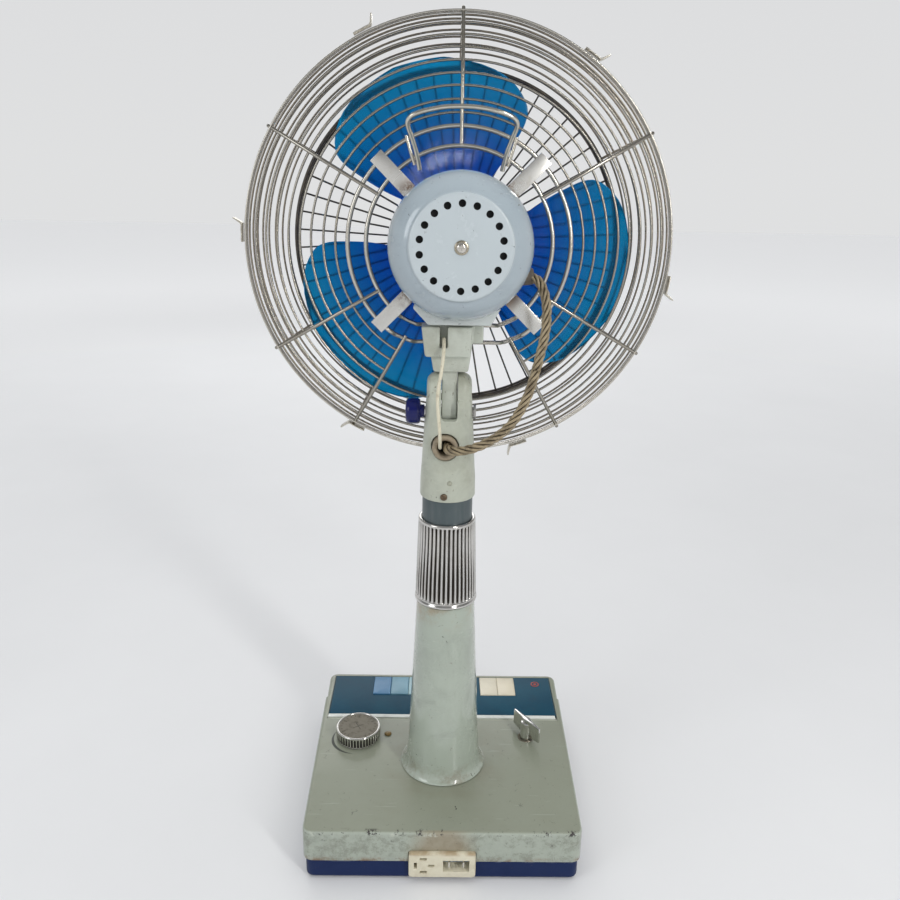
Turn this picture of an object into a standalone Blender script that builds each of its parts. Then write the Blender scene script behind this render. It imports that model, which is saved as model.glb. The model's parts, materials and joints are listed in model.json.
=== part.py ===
"""A desk fan on an extending column: piano keys in the base, a tilting and swinging head, a wire guard.

Sizes are in millimetres and MM turns them into Blender's metres. +Z is up, the fan blows towards -Y,
and the lowest point of the rubber feet is at Z = 0. The column's axis is the local origin of the whole
model, and MODEL_SHIFT puts the model's box over the world's origin.
"""

import math

import bmesh
import bpy
from mathutils import Matrix, Vector

MM = 0.001
GAP = 0.3
MODEL_SHIFT = (4.3, 30.6, 0.0)

# Base
BASE_REAR_Y, BASE_FRONT_Y = 98.0, -145.0
BASE_REAR_HALF, BASE_FRONT_HALF = 123.2, 127.5
BASE_CORNER_R, BASE_WALL = 9.0, 2.5
FOOT_R, FOOT_TOP = 7.0, 1.5
TRAY_BOTTOM, TRAY_TOP = 1.8, 21.7
SHELL_BOTTOM, BASE_TOP = 22.3, 54.0
PANEL_HALF, PANEL_FRONT_Y, PANEL_REAR_Y = 120.5, -139.5, -69.8
TRIM_REAR_Y = -61.5
KEY_PITCH, KEY_FRONT_Y, KEY_REAR_Y = 19.4, -139.2, -105.0
KEY_BOTTOM, KEY_TOP = 43.0, 55.0
BLUE_KEYS_RIGHT, CREAM_KEYS_RIGHT = -20.2, -80.0
TIMER_AXIS, TIMER_R, TIMER_TOP = (85.4, -32.0), 22.2, 67.5
LEVER_AXIS, LEVER_ANGLE, LEVER_LENGTH = (-85.0, -34.0), 123.4, 40.0
INLET = ((-29.6, 29.6), (7.7, 33.8))
INLET_WINDOW = ((-24.1, -0.8), (14.2, 26.6))
INLET_OUT = 3.5

# Column, clamp and pole
COLUMN_TOP, COLUMN_BORE = 262.0, 22.3
CLAMP_BOTTOM, CLAMP_TOP = 232.9, 312.5
POLE_R, POLE_BOTTOM, POLE_TOP = 22.0, 80.0, 352.0

# Neck and tilt
NECK_BOTTOM = 333.5
TILT_Z, TILT_REST = 408.0, 3.3
EAR_HALF, EAR_R, EAR_TOP_AXIS = 19.0, 15.0, 427.0
EAR_FRONT_Y = -9.0  # flat, so that the guard swings past it with the head tilted back
SLOT_HALF, SLOT_FLOOR = 6.8, 396.0
GROMMET = (3.0, 382.4)
BOLT_R, TILT_KNOB_R = 4.0, 11.0
PIN_R, SWING_Z = 5.0, 75.2

# Head, about the motor's axis
MOTOR_X, MOTOR_Z = -6.5, 137.0
MOTOR_R, SEAM_Y, MOTOR_FRONT_Y, COVER_FACE_Y = 57.0, 28.0, -17.3, 58.0
VENT_COUNT, VENT_CIRCLE_R, VENT_R = 18, 31.8, 2.8
SHAFT_R = 4.0

# Guards and blades
BAND_R, BAND_Y = 182.0, -46.0
THICK_RINGS, THIN_RINGS = (77.6, 92.8), (122.0, 152.0)
THICK_WIRE, THIN_WIRE, RIB_WIRE = 2.0, 1.2, 1.6
RING_Y, RIB_ANGLES = -22.0, (30, 90, 150, 210, 240, 300, 330)
FRONT_PROFILE = ((181.0, -53.5), (174.0, -88.0), (155.0, -132.0), (90.0, -143.0), (24.0, -148.0))
FRONT_WIRES = 8
BLADE_R, BLADE_Y, BLADE_TILT = 153.0, -72.0, 17.0
CLIP_ANGLES = (57, 118, 180, 243, 290, 352)
CLIP_LENGTH = 14.0

LEAD_R, CABLE_R = 4.0, 1.5
LEAD_ROUTE = (
    (-62.6, -6, 521.2), (-69.1, 0, 519.5), (-73.8, 5, 512.8), (-76.4, 10, 502.4), (-76.8, 15, 491.2),
    (-75.5, 20, 479.2), (-72.4, 25, 465.6), (-68.6, 30, 451.2), (-63.8, 34, 435.6), (-57.6, 38, 421.7),
    (-49.2, 40, 408.8), (-38.7, 41, 398.9), (-27.0, 41, 391.8), (-15.5, 39, 386.8), (-5.0, 34, 383.6),
    (0.2, 27, 382.6), (0.9, 20, 382.4), (0.9, 13, 382.4),
)
CABLE_ROUTE = (
    (5.3, 14, 473.0), (5.2, 21, 468.2), (5.8, 27, 459.4), (7.1, 30, 448.6), (9.0, 31, 437.3),
    (9.8, 31.5, 427.3), (9.4, 32, 418.4), (8.4, 32.5, 407.7), (7.6, 32, 397.5), (7.3, 29, 388.5),
    (7.2, 24, 383.2), (7.2, 19, 382.4), (7.2, 13, 382.4),
)

BLUES = ((0.10, 0.25, 0.55), (0.16, 0.36, 0.60), (0.26, 0.48, 0.62), (0.40, 0.60, 0.66), (0.55, 0.70, 0.70))


# ---------------------------------------------------------------- helpers


def clear_scene():
    for obj in list(bpy.data.objects):
        bpy.data.objects.remove(obj, do_unlink=True)


def material(name, color, roughness=0.5, metallic=0.0, alpha=1.0):
    made = bpy.data.materials.new(name)
    made.use_nodes = True
    shader = made.node_tree.nodes["Principled BSDF"]
    shader.inputs["Base Color"].default_value = (*color, 1.0)
    shader.inputs["Roughness"].default_value = roughness
    shader.inputs["Metallic"].default_value = metallic
    shader.inputs["Alpha"].default_value = alpha
    return made


def empty(name, parent=None, place=(0, 0, 0), turn=(0, 0, 0)):
    made = bpy.data.objects.new(name, None)
    bpy.context.collection.objects.link(made)
    made.parent = parent
    made.location = Vector(place) * MM
    made.rotation_euler = [math.radians(a) for a in turn]
    return made


def node(name, bm, mat, parent, place=(0, 0, 0), turn=(0, 0, 0)):
    """An object of this bmesh, whose sizes are in millimetres, with its origin at place."""
    bmesh.ops.recalc_face_normals(bm, faces=bm.faces)
    bmesh.ops.scale(bm, vec=(MM, MM, MM), verts=bm.verts)
    mesh = bpy.data.meshes.new(name)
    bm.to_mesh(mesh)
    bm.free()
    mesh.shade_smooth()
    mesh.set_sharp_from_angle(angle=math.radians(35))
    made = bpy.data.objects.new(name, mesh)
    bpy.context.collection.objects.link(made)
    if mat:
        mesh.materials.append(mat)
    made.parent = parent
    made.location = Vector(place) * MM
    made.rotation_euler = [math.radians(a) for a in turn]
    return made


def boolean(obj, bm, operation="DIFFERENCE"):
    """Cuts this bmesh from the object, or joins it, in the object's own frame."""
    tool = node(f"{obj.name}.tool{len(obj.modifiers)}", bm, None, obj)
    tool.hide_render = True
    tool.display_type = "WIRE"
    change = obj.modifiers.new(operation.title(), "BOOLEAN")
    change.operation = operation
    change.object = tool
    change.solver = "EXACT"
    return obj


AXIS_TURN = {
    "X": Matrix.Rotation(math.pi / 2, 4, "Y"),
    "Y": Matrix.Rotation(-math.pi / 2, 4, "X"),
    "Z": Matrix.Identity(4),
}


def turned(profile, steps=24, axis="Z", place=(0, 0, 0), into=None):
    """A closed outline of (radius, height) turned about an axis through place."""
    bm = bmesh.new()
    points = [bm.verts.new((r, 0, h)) for r, h in profile]
    edges = [bm.edges.new((points[i - 1], points[i])) for i in range(len(points))]
    bmesh.ops.spin(
        bm, geom=points + edges, axis=(0, 0, 1), cent=(0, 0, 0), angle=math.tau, steps=steps, use_merge=True
    )
    bmesh.ops.remove_doubles(bm, verts=bm.verts, dist=1e-3)
    loose = [e for e in bm.edges if not e.link_faces]
    bmesh.ops.delete(bm, geom=loose, context="EDGES")
    flat = {v for e in bm.edges if e.is_boundary for v in e.verts}
    assert not flat, "the turned outline isn't closed"
    bm.transform(Matrix.Translation(place) @ AXIS_TURN[axis])
    return gathered(bm, into)


def gathered(bm, into):
    """Adds a bmesh to another and gives the one that holds both."""
    if into is None:
        return bm
    mesh = bpy.data.meshes.new("gathered")
    bm.to_mesh(mesh)
    bm.free()
    into.from_mesh(mesh)
    bpy.data.meshes.remove(mesh)
    return into


def rod(radius, low, high, axis="Z", place=(0, 0, 0), steps=12, into=None):
    return turned(((0, low), (radius, low), (radius, high), (0, high)), steps, axis, place, into)


def box(x, y, z, bevel=0.0, into=None):
    """A block between the two values of each axis, with its upright edges bevelled."""
    bm = bmesh.new()
    bmesh.ops.create_cube(bm, size=1.0)
    for v in bm.verts:
        for axis, (low, high) in enumerate((x, y, z)):
            v.co[axis] = low if v.co[axis] < 0 else high
    if bevel:
        upright = [e for e in bm.edges if abs(e.verts[0].co.z - e.verts[1].co.z) > 1e-6]
        bmesh.ops.bevel(bm, geom=upright, offset=bevel, segments=2, affect="EDGES")
    return gathered(bm, into)


PRISM_PLACE = {"X": lambda a, b, h: (h, a, b), "Y": lambda a, b, h: (a, h, b), "Z": lambda a, b, h: (a, b, h)}


def prism(outline, low, high, axis="Z", into=None):
    """A flat outline extruded between two heights along an axis: (y, z) along X, (x, z) along Y, or (x, y)."""
    bm = bmesh.new()
    put = PRISM_PLACE[axis]
    rings = [[bm.verts.new(put(a, b, h)) for a, b in outline] for h in (low, high)]
    skin(bm, rings)
    return gathered(bm, into)


def skin(bm, rings, closed=False):
    """Joins rings of points in turn, and caps the first and last, or joins them if closed."""
    count = len(rings[0])
    pairs = list(zip(rings, rings[1:])) + ([(rings[-1], rings[0])] if closed else [])
    for low, high in pairs:
        for i in range(count):
            j = (i + 1) % count
            bm.faces.new((low[i], low[j], high[j], high[i]))
    if not closed:
        bm.faces.new(rings[0])
        bm.faces.new(rings[-1])


def smooth_route(points, spacing):
    """Points a spacing apart on the smooth curve through the route's own points."""
    route = [Vector(p) for p in points]
    route = [2 * route[0] - route[1], *route, 2 * route[-1] - route[-2]]
    found = []
    for a, b, c, d in zip(route, route[1:], route[2:], route[3:]):
        steps = max(1, round((c - b).length / spacing))
        for i in range(steps):
            t = i / steps
            found.append(0.5 * (2 * b + (c - a) * t + (2 * a - 5 * b + 4 * c - d) * t**2
                                + (3 * b - a - 3 * c + d) * t**3))
    return [*found, route[-2]]


def tube_object(name, points, radius, sides_level, mat, parent, cyclic=False):
    curve = bpy.data.curves.new(name, "CURVE")
    curve.dimensions = "3D"
    curve.bevel_depth = radius * MM
    curve.bevel_resolution = sides_level
    curve.use_fill_caps = not cyclic
    spline = curve.splines.new("POLY")
    spline.points.add(len(points) - 1)
    spline.use_cyclic_u = cyclic
    for at, point in zip(spline.points, points):
        at.co = (*(Vector(point) * MM), 1.0)
    made = bpy.data.objects.new(name, curve)
    bpy.context.collection.objects.link(made)
    if mat:
        curve.materials.append(mat)
    made.parent = parent
    return made


def wire(points, radius, cyclic=False, into=None, sides=4):
    """A bent wire as a bmesh in millimetres, with mitred corners."""
    bm = bmesh.new()
    path = [Vector(p) for p in points]
    count = len(path)
    rings = []
    side = None
    for i, at in enumerate(path):
        before = path[i - 1] if (i or cyclic) else at
        after = path[(i + 1) % count] if (i + 1 < count or cyclic) else at
        along = (after - before).normalized()
        if side is None:
            side = along.cross(Vector((0, 1, 0)) if abs(along.y) < 0.9 else Vector((1, 0, 0)))
        side = (side - along * side.dot(along)).normalized()
        up = along.cross(side)
        turn = [math.tau * (k + 0.5) / sides for k in range(sides)]
        rings.append([bm.verts.new(at + radius * (side * math.cos(a) + up * math.sin(a))) for a in turn])
    skin(bm, rings, cyclic)
    bmesh.ops.recalc_face_normals(bm, faces=bm.faces)
    return gathered(bm, into)


def rounded(corners, radius, steps=3):
    """An outline through these corners, each rounded by an arc."""
    found = []
    for i, corner in enumerate(corners):
        at = Vector(corner)
        before, after = Vector(corners[i - 1]), Vector(corners[(i + 1) % len(corners)])
        a, b = (before - at).normalized(), (after - at).normalized()
        half = a.angle(b) / 2
        centre = at + (a + b).normalized() * radius / math.sin(half)
        start = at + a * radius / math.tan(half) - centre
        sweep = start.angle_signed(at + b * radius / math.tan(half) - centre)
        for k in range(steps + 1):
            found.append(tuple(centre + Matrix.Rotation(-sweep * k / steps, 2) @ start))
    return found


def tab(radius, flat_z, axis_z, steps=10):
    """The outline of a tab with one round end about axis_z and one square end at flat_z."""
    sign = 1 if axis_z > flat_z else -1
    turn = [math.pi * i / steps for i in range(steps + 1)]
    arc = [(radius * math.cos(a), axis_z + sign * radius * math.sin(a)) for a in turn]
    return [(radius, flat_z), *arc, (-radius, flat_z)]


def about(angle, radius, y=0.0):
    """A point at this angle about the motor's axis, counted from the -X side upwards."""
    return Vector((-radius * math.cos(math.radians(angle)), y, radius * math.sin(math.radians(angle))))


# ---------------------------------------------------------------- base


def base_outline(inset):
    rear, front = BASE_REAR_HALF - inset, BASE_FRONT_HALF - inset
    back, fore = BASE_REAR_Y - inset, BASE_FRONT_Y + inset
    return rounded(((rear, back), (-rear, back), (-front, fore), (front, fore)), BASE_CORNER_R - inset / 2)


def lofted_shell(outer, inner):
    """A box of insets and heights: up its outside, over its rim and down its inside."""
    bm = bmesh.new()
    rings = [[bm.verts.new((x, y, z)) for x, y in base_outline(inset)] for inset, z in (*outer, *inner)]
    skin(bm, rings)
    return bm


def make_base_shell(root):
    outer = ((3.2, BASE_TOP), (0.8, BASE_TOP - 1.0), (0, BASE_TOP - 3.5), (0, SHELL_BOTTOM))
    inner = ((BASE_WALL, SHELL_BOTTOM), (BASE_WALL, BASE_TOP - BASE_WALL))
    shell = node("base_shell", lofted_shell(outer, inner), material("base_shell", (0.56, 0.60, 0.52), 0.4), root)
    top = (BASE_TOP - 4, BASE_TOP + 2)
    half = PANEL_HALF + GAP
    cuts = box((-half, half), (PANEL_FRONT_Y - GAP, TRIM_REAR_Y + GAP), top)
    rod(19.0, *top, steps=20, into=cuts)
    for axis in (TIMER_AXIS, LEVER_AXIS):
        rod(3.6, *top, place=(*axis, 0), into=cuts)
    boolean(shell, cuts)
    boolean(shell, inlet_hole())
    return shell


def inlet_hole():
    (left, right), (low, high) = INLET
    return box((left - GAP, right + GAP), (BASE_REAR_Y - 15, BASE_REAR_Y + 2), (low - GAP, high + GAP))


def make_base_tray(root):
    outer = ((5.0, TRAY_BOTTOM), (1.6, TRAY_BOTTOM + 4), (1.6, TRAY_TOP))
    inner = ((4.1, TRAY_TOP), (4.1, TRAY_BOTTOM + 2.5))
    tray = node("base_tray", lofted_shell(outer, inner), material("base_tray", (0.02, 0.05, 0.16), 0.4), root)
    return boolean(tray, inlet_hole())


def make_feet(root):
    for i, (x, y) in enumerate(((104, 80), (-104, 80), (-110, -126), (110, -126)), 1):
        profile = ((0, 0), (FOOT_R - 1, 0), (FOOT_R, 1.0), (FOOT_R, FOOT_TOP), (0, FOOT_TOP))
        node(f"foot_{i}", turned(profile, 12), material(f"foot_{i}", (0.03, 0.03, 0.03), 0.8), root, (x, y, 0))


def key_group_width(count):
    return count * KEY_PITCH


def make_control_panel(root):
    plate = box((-PANEL_HALF, PANEL_HALF), (PANEL_FRONT_Y, PANEL_REAR_Y), (BASE_TOP - 2.5, BASE_TOP))
    panel = node("control_panel", plate, material("control_panel", (0.01, 0.06, 0.12), 0.35), root)
    notch_y = (PANEL_FRONT_Y - 5, KEY_REAR_Y + GAP)
    height = (BASE_TOP - 6, BASE_TOP + 3)
    for right, count in ((BLUE_KEYS_RIGHT, len(BLUES)), (CREAM_KEYS_RIGHT, 2)):
        boolean(panel, box((right - GAP, right + key_group_width(count)), notch_y, height))
    trim = box((-PANEL_HALF, PANEL_HALF), (PANEL_REAR_Y + GAP, TRIM_REAR_Y), (BASE_TOP - 2.5, BASE_TOP + 0.4))
    node("panel_trim", trim, material("panel_trim", (0.75, 0.77, 0.74), 0.4), root)


def make_key(name, right, color, root):
    bm = box((right, right + KEY_PITCH - GAP), (KEY_FRONT_Y, KEY_REAR_Y), (KEY_BOTTOM, KEY_TOP))
    top = [e for e in bm.edges if all(v.co.z > KEY_TOP - 1e-6 for v in e.verts)]
    bmesh.ops.bevel(bm, geom=top, offset=0.6, segments=1, affect="EDGES")
    node(name, bm, material(name, color, 0.35), root)


def make_keys(root):
    for i, color in enumerate(reversed(BLUES)):
        make_key(f"key_blue_{len(BLUES) - i}", BLUE_KEYS_RIGHT + i * KEY_PITCH, color, root)
    for i in range(2):
        make_key(f"key_cream_{i + 1}", CREAM_KEYS_RIGHT + i * KEY_PITCH, (0.72, 0.66, 0.50), root)


def make_timer(root):
    knob = (
        (0, 46.5), (3.0, 46.5), (3.0, BASE_TOP + 0.8), (TIMER_R - 0.6, BASE_TOP + 0.8),
        (TIMER_R, TIMER_TOP - 1.2), (TIMER_R - 1.4, TIMER_TOP), (TIMER_R - 2.2, TIMER_TOP - 0.6),
        (0, TIMER_TOP - 0.6),
    )
    node("timer_knob", turned(knob, 28), material("timer_knob", (0.6, 0.6, 0.58), 0.25, 1.0), root,
         (*TIMER_AXIS, 0))
    x, y = TIMER_AXIS
    body = box((x - 25, x + 22), (y - 25, y + 25), (20.0, 46.0))
    node("timer_body", body, material("timer_body", (0.35, 0.33, 0.28), 0.5, 0.6), root)
    dot = ((0, BASE_TOP + GAP), (3.7, BASE_TOP + GAP), (3.4, BASE_TOP + 1.4), (1.8, BASE_TOP + 2.2),
           (0, BASE_TOP + 2.4))
    node("index_dot", turned(dot, 12), material("index_dot", (0.45, 0.28, 0.06), 0.3), root, (55.8, -36.6, 0))


def make_lever(root):
    reach = LEVER_LENGTH / 2
    outline = ((-reach, -0.8), (-4.5, -2.4), (4.5, -2.4), (reach, -0.8), (reach, 0.8), (4.5, 2.4), (-4.5, 2.4),
               (-reach, 0.8))
    lever = node("oscillation_lever", prism(outline, BASE_TOP + 5.5, BASE_TOP + 22),
                 material("oscillation_lever", (0.7, 0.7, 0.7), 0.2, 1.0), root, (*LEVER_AXIS, 0),
                 (0, 0, LEVER_ANGLE))
    stem = ((0, 43), (3.0, 43), (3.0, BASE_TOP + 0.8), (4.6, BASE_TOP + 0.8), (4.2, BASE_TOP + 21), (0, BASE_TOP + 21))
    boolean(lever, turned(stem, 16), "UNION")
    x, y = LEVER_AXIS
    node("lever_switch", box((x - 15, x + 15), (y - 15, y + 15), (24.0, 42.5)),
         material("lever_switch", (0.45, 0.30, 0.16), 0.6), root)


def make_inlet(root):
    (left, right), (low, high) = INLET
    rear = BASE_REAR_Y + INLET_OUT
    block = node("inlet_block", box((left, right), (BASE_REAR_Y - 12, rear), (low, high)),
                 material("inlet_block", (0.72, 0.67, 0.53), 0.45), root)
    cuts = box(INLET_WINDOW[0], (BASE_REAR_Y - 9, rear + 2), INLET_WINDOW[1])
    slots = (((22.1, 24.8), (17.5, 24.1)), ((13.5, 19.8), (26.6, 29.4)), ((13.5, 19.8), (12.3, 15.1)),
             ((6.8, 12.6), (19.2, 22.0)))
    for x, z in slots:
        box(x, (rear - 5, rear + 2), z, into=cuts)
    boolean(block, cuts)
    for i, x in enumerate((-6.2, -18.9), 1):
        pin = box((x - 0.8, x + 0.8), (BASE_REAR_Y - 8.7, BASE_REAR_Y + 2), (17.4, 23.5))
        node(f"inlet_pin_{i}", pin, material(f"inlet_pin_{i}", (0.6, 0.6, 0.6), 0.3, 1.0), root)


def make_base_inside(root):
    node("ballast_plate", box((-70, 70), (-95, 80), (TRAY_BOTTOM + 2.8, 14)),
         material("ballast_plate", (0.25, 0.24, 0.23), 0.6, 0.9), root)
    node("key_switch", box((-84, 80), (-137, -107), (20, 37.5)),
         material("key_switch", (0.40, 0.28, 0.15), 0.6), root)


# ---------------------------------------------------------------- column, clamp, pole and neck


def make_column(root):
    profile = (
        (COLUMN_BORE, BASE_TOP + GAP), (40.5, BASE_TOP + GAP), (38.2, BASE_TOP + 2.5), (36.0, BASE_TOP + 7),
        (34.6, BASE_TOP + 15), (30.4, BASE_TOP + 90), (26.3, 232.0), (25.0, 232.4), (25.0, COLUMN_TOP),
        (COLUMN_BORE, COLUMN_TOP),
    )
    node("column", turned(profile, 28), material("column", (0.60, 0.64, 0.57), 0.35), root)


def make_clamp(root):
    profile = (
        (25.3, CLAMP_BOTTOM), (27.9, CLAMP_BOTTOM), (28.1, CLAMP_BOTTOM + 3), (27.6, CLAMP_BOTTOM + 5),
        (25.1, CLAMP_TOP - 2.5), (24.2, CLAMP_TOP), (22.5, CLAMP_TOP), (22.5, COLUMN_TOP + 1),
        (25.3, COLUMN_TOP + 1),
    )
    node("clamp_ring", turned(profile, 24), material("clamp_ring", (0.65, 0.65, 0.66), 0.2, 1.0), root)


def make_pole(root):
    inside = POLE_R - 2.4
    profile = ((inside, POLE_BOTTOM), (POLE_R, POLE_BOTTOM), (POLE_R, POLE_TOP), (inside, POLE_TOP))
    node("inner_pole", turned(profile, 24), material("inner_pole", (0.10, 0.13, 0.15), 0.4, 0.3), root)


def make_neck(root):
    profile = ((0, NECK_BOTTOM), (24.1, NECK_BOTTOM), (23.8, NECK_BOTTOM + 16), (21.5, 385), (19.6, 419), (0, 419))
    neck = node("neck", turned(profile, 28), material("neck", (0.60, 0.62, 0.53), 0.4), root)
    boolean(neck, prism(tab(EAR_R, 398, EAR_TOP_AXIS), -EAR_HALF, EAR_HALF, "X"), "UNION")
    boolean(neck, rod(POLE_R + GAP, NECK_BOTTOM - 2, POLE_TOP + 1, steps=24))
    boolean(neck, rod(13.5, POLE_TOP, 391, steps=16))
    boolean(neck, box((-30, 30), (-30, EAR_FRONT_Y), (398.5, 450)))
    boolean(neck, box((-SLOT_HALF, SLOT_HALF), (-30, 13.3), (SLOT_FLOOR, 450)))
    boolean(neck, box((-SLOT_HALF, SLOT_HALF), (10, 30), (TILT_Z, 450)))
    boolean(neck, rod(10.8, 5, 30, "Y", (GROMMET[0], 0, GROMMET[1]), 20))
    boolean(neck, rod(BOLT_R + GAP, -30, 30, "X", (0, 0, TILT_Z)))
    ring = ((6.3, 12), (10.5, 12), (10.5, 22.6), (9.2, 24.6), (7.3, 24.6), (6.3, 22.8))
    node("grommet", turned(ring, 20, "Y"), material("grommet", (0.40, 0.27, 0.15), 0.7), root,
         (GROMMET[0], 0, GROMMET[1]))
    node("neck_screw", turned(((0, 24.4), (3.0, 24.4), (2.6, 25.6), (0, 26.0)), 12, "Y"),
         material("neck_screw", (0.10, 0.06, 0.04), 0.5, 0.6), root, (3.4, 0, 339.0))


def make_tilt_knob(root):
    at = (0, 0, TILT_Z)
    bolt = ((0, -22.6), (6.5, -22.6), (6.5, -20.8), (BOLT_R, -20.8), (BOLT_R, 20.5), (0, 20.5))
    node("tilt_bolt", turned(bolt, 12, "X"), material("tilt_bolt", (0.3, 0.3, 0.3), 0.4, 1.0), root, at)
    knob = (
        (0, 20.8), (5.5, 20.8), (5.5, 24.5), (TILT_KNOB_R - 1, 24.5), (TILT_KNOB_R, 25.5), (TILT_KNOB_R, 34.5),
        (TILT_KNOB_R - 1.5, 36.5), (0, 37.0),
    )
    node("tilt_knob", turned(knob, 20, "X"), material("tilt_knob", (0.01, 0.02, 0.22), 0.15), root, at)


def make_tilt_bracket(tilt):
    lug = prism(tab(11.0, 45, 0), -6.5, 6.5, "X")
    bracket = node("tilt_bracket", lug, material("tilt_bracket", (0.62, 0.65, 0.58), 0.4), tilt)
    boolean(bracket, prism(((-14, 37), (14, 37), (18.5, 51), (22, SWING_Z), (-19.5, SWING_Z), (-17, 51)),
                           -17, 19.5, "Y"), "UNION")
    boolean(bracket, box((-27.5, -15), (-17, 6), (58, SWING_Z - 1)), "UNION")
    boolean(bracket, box((2.4, 8.4), (8, 22), (57, SWING_Z + 5)))
    boolean(bracket, rod(PIN_R + GAP, 60, SWING_Z + 5))
    boolean(bracket, rod(BOLT_R + GAP, -30, 30, "X"))
    node("pivot_pin", rod(PIN_R, 61, 85.5), material("pivot_pin", (0.45, 0.45, 0.45), 0.3, 1.0), tilt)


# ---------------------------------------------------------------- motor


def make_housing(motor):
    outer = ((0, SEAM_Y), (MOTOR_R, SEAM_Y), (MOTOR_R, -3), (53, -12), (43, MOTOR_FRONT_Y), (0, MOTOR_FRONT_Y))
    housing = node("motor_housing", turned(outer, 24, "Y"), material("motor_housing", (0.42, 0.50, 0.55), 0.25), motor)
    foot_z = SWING_Z + 0.5 - MOTOR_Z
    boolean(housing, prism(((-25.4, foot_z), (24.6, foot_z), (38, -47), (30, -40), (-26, -40), (-33, -47)),
                           -17, 19, "Y"), "UNION")
    wall = 2.5
    inner = ((0, SEAM_Y + 1), (MOTOR_R - wall, SEAM_Y + 1), (MOTOR_R - wall, -2.5), (51, -10.3),
             (41.8, MOTOR_FRONT_Y + wall), (0, MOTOR_FRONT_Y + wall))
    boolean(housing, turned(inner, 24, "Y"))
    boolean(housing, rod(6, MOTOR_FRONT_Y - 5, MOTOR_FRONT_Y + 5, "Y", steps=16))
    return boolean(housing, rod(PIN_R + GAP, foot_z - 2, foot_z + 14, place=(-MOTOR_X, 0, 0)))


def make_cover(motor):
    seam = SEAM_Y + GAP
    profile = (
        (54.9, seam), (MOTOR_R, seam), (56.5, 38), (53, 48.5), (47.5, 54.5), (42.5, COVER_FACE_Y - 0.6),
        (39, COVER_FACE_Y), (2.6, COVER_FACE_Y), (2.6, COVER_FACE_Y - 2), (39, COVER_FACE_Y - 2), (46, 52.6),
        (51, 47), (54.4, 38),
    )
    cover = node("motor_cover", turned(profile, 24, "Y"), material("motor_cover", (0.62, 0.68, 0.70), 0.25), motor)
    holes = None
    for i in range(VENT_COUNT):
        place = about(90 + i * 360 / VENT_COUNT, VENT_CIRCLE_R)
        holes = rod(VENT_R, COVER_FACE_Y - 4, COVER_FACE_Y + 2, "Y", place, 6, holes)
    boolean(cover, holes)
    screw = ((0, 50), (2.2, 50), (2.2, COVER_FACE_Y + GAP), (5.5, COVER_FACE_Y + GAP), (5.5, 59.4), (3.6, 61), (0, 61))
    node("cover_screw", turned(screw, 14, "Y"), material("cover_screw", (0.6, 0.6, 0.6), 0.2, 1.0), motor)


def make_motor_inside(motor):
    steel, brass = (0.35, 0.35, 0.36), (0.55, 0.42, 0.18)
    rings = {
        "stator": (31, 48, -4, 23, (0.30, 0.20, 0.12)),
        "bearing_front": (SHAFT_R + GAP, 13, -14.4, -8, brass),
        "bearing_rear": (SHAFT_R + GAP, 13, 25, 29.5, brass),
    }
    for name, (inside, outside, front, rear, color) in rings.items():
        profile = ((inside, front), (outside, front), (outside, rear), (inside, rear))
        node(name, turned(profile, 20, "Y"), material(name, color, 0.4, 0.8), motor)
    node("gearbox", box((-18, 18), (31, 49), (-14, 20), 3.0), material("gearbox", (0.45, 0.45, 0.46), 0.5, 0.6), motor)
    crank = node("swing_crank", rod(13, -18, -14.4, steps=16), material("swing_crank", brass, 0.35, 0.9), motor,
                 (0, 40, 0))
    boolean(crank, rod(2.2, -23, -17, place=(7.5, 0, 0), steps=10), "UNION")


def blade_half_width(radius):
    """Half the angle that a blade spans at this radius, in degrees."""
    known = ((20, 26), (40, 34), (70, 42), (105, 43.5), (125, 42), (136, 37), (146, 27), (BLADE_R, 9))
    for (r0, w0), (r1, w1) in zip(known, known[1:]):
        if radius <= r1:
            return w0 + (w1 - w0) * (radius - r0) / (r1 - r0)
    return known[-1][1]


def add_blade(bm, middle, across=6, thickness=1.3):
    radii = (20, 40, 70, 105, 125, 136, 146, BLADE_R)
    pitch = 75 * math.tan(math.radians(BLADE_TILT))
    faces = []
    for side in (-thickness, thickness):
        rows = []
        for radius in radii:
            row = []
            for i in range(across + 1):
                off = blade_half_width(radius) * (2 * i / across - 1)
                twist = math.radians(off) * pitch
                row.append(bm.verts.new(about(middle + off, radius, BLADE_Y + twist + side)))
            rows.append(row)
        faces.append(rows)
    low, high = faces
    for rows in faces:
        for a, b in zip(rows, rows[1:]):
            for i in range(across):
                bm.faces.new((a[i], a[i + 1], b[i + 1], b[i]))
    around = [(r, 0) for r in range(len(radii))] + [(len(radii) - 1, i) for i in range(1, across + 1)]
    around += [(r, across) for r in reversed(range(len(radii) - 1))] + [(0, i) for i in range(across - 1, 0, -1)]
    for (r0, i0), (r1, i1) in zip(around, around[1:] + around[:1]):
        bm.faces.new((low[r0][i0], low[r1][i1], high[r1][i1], high[r0][i0]))


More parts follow.
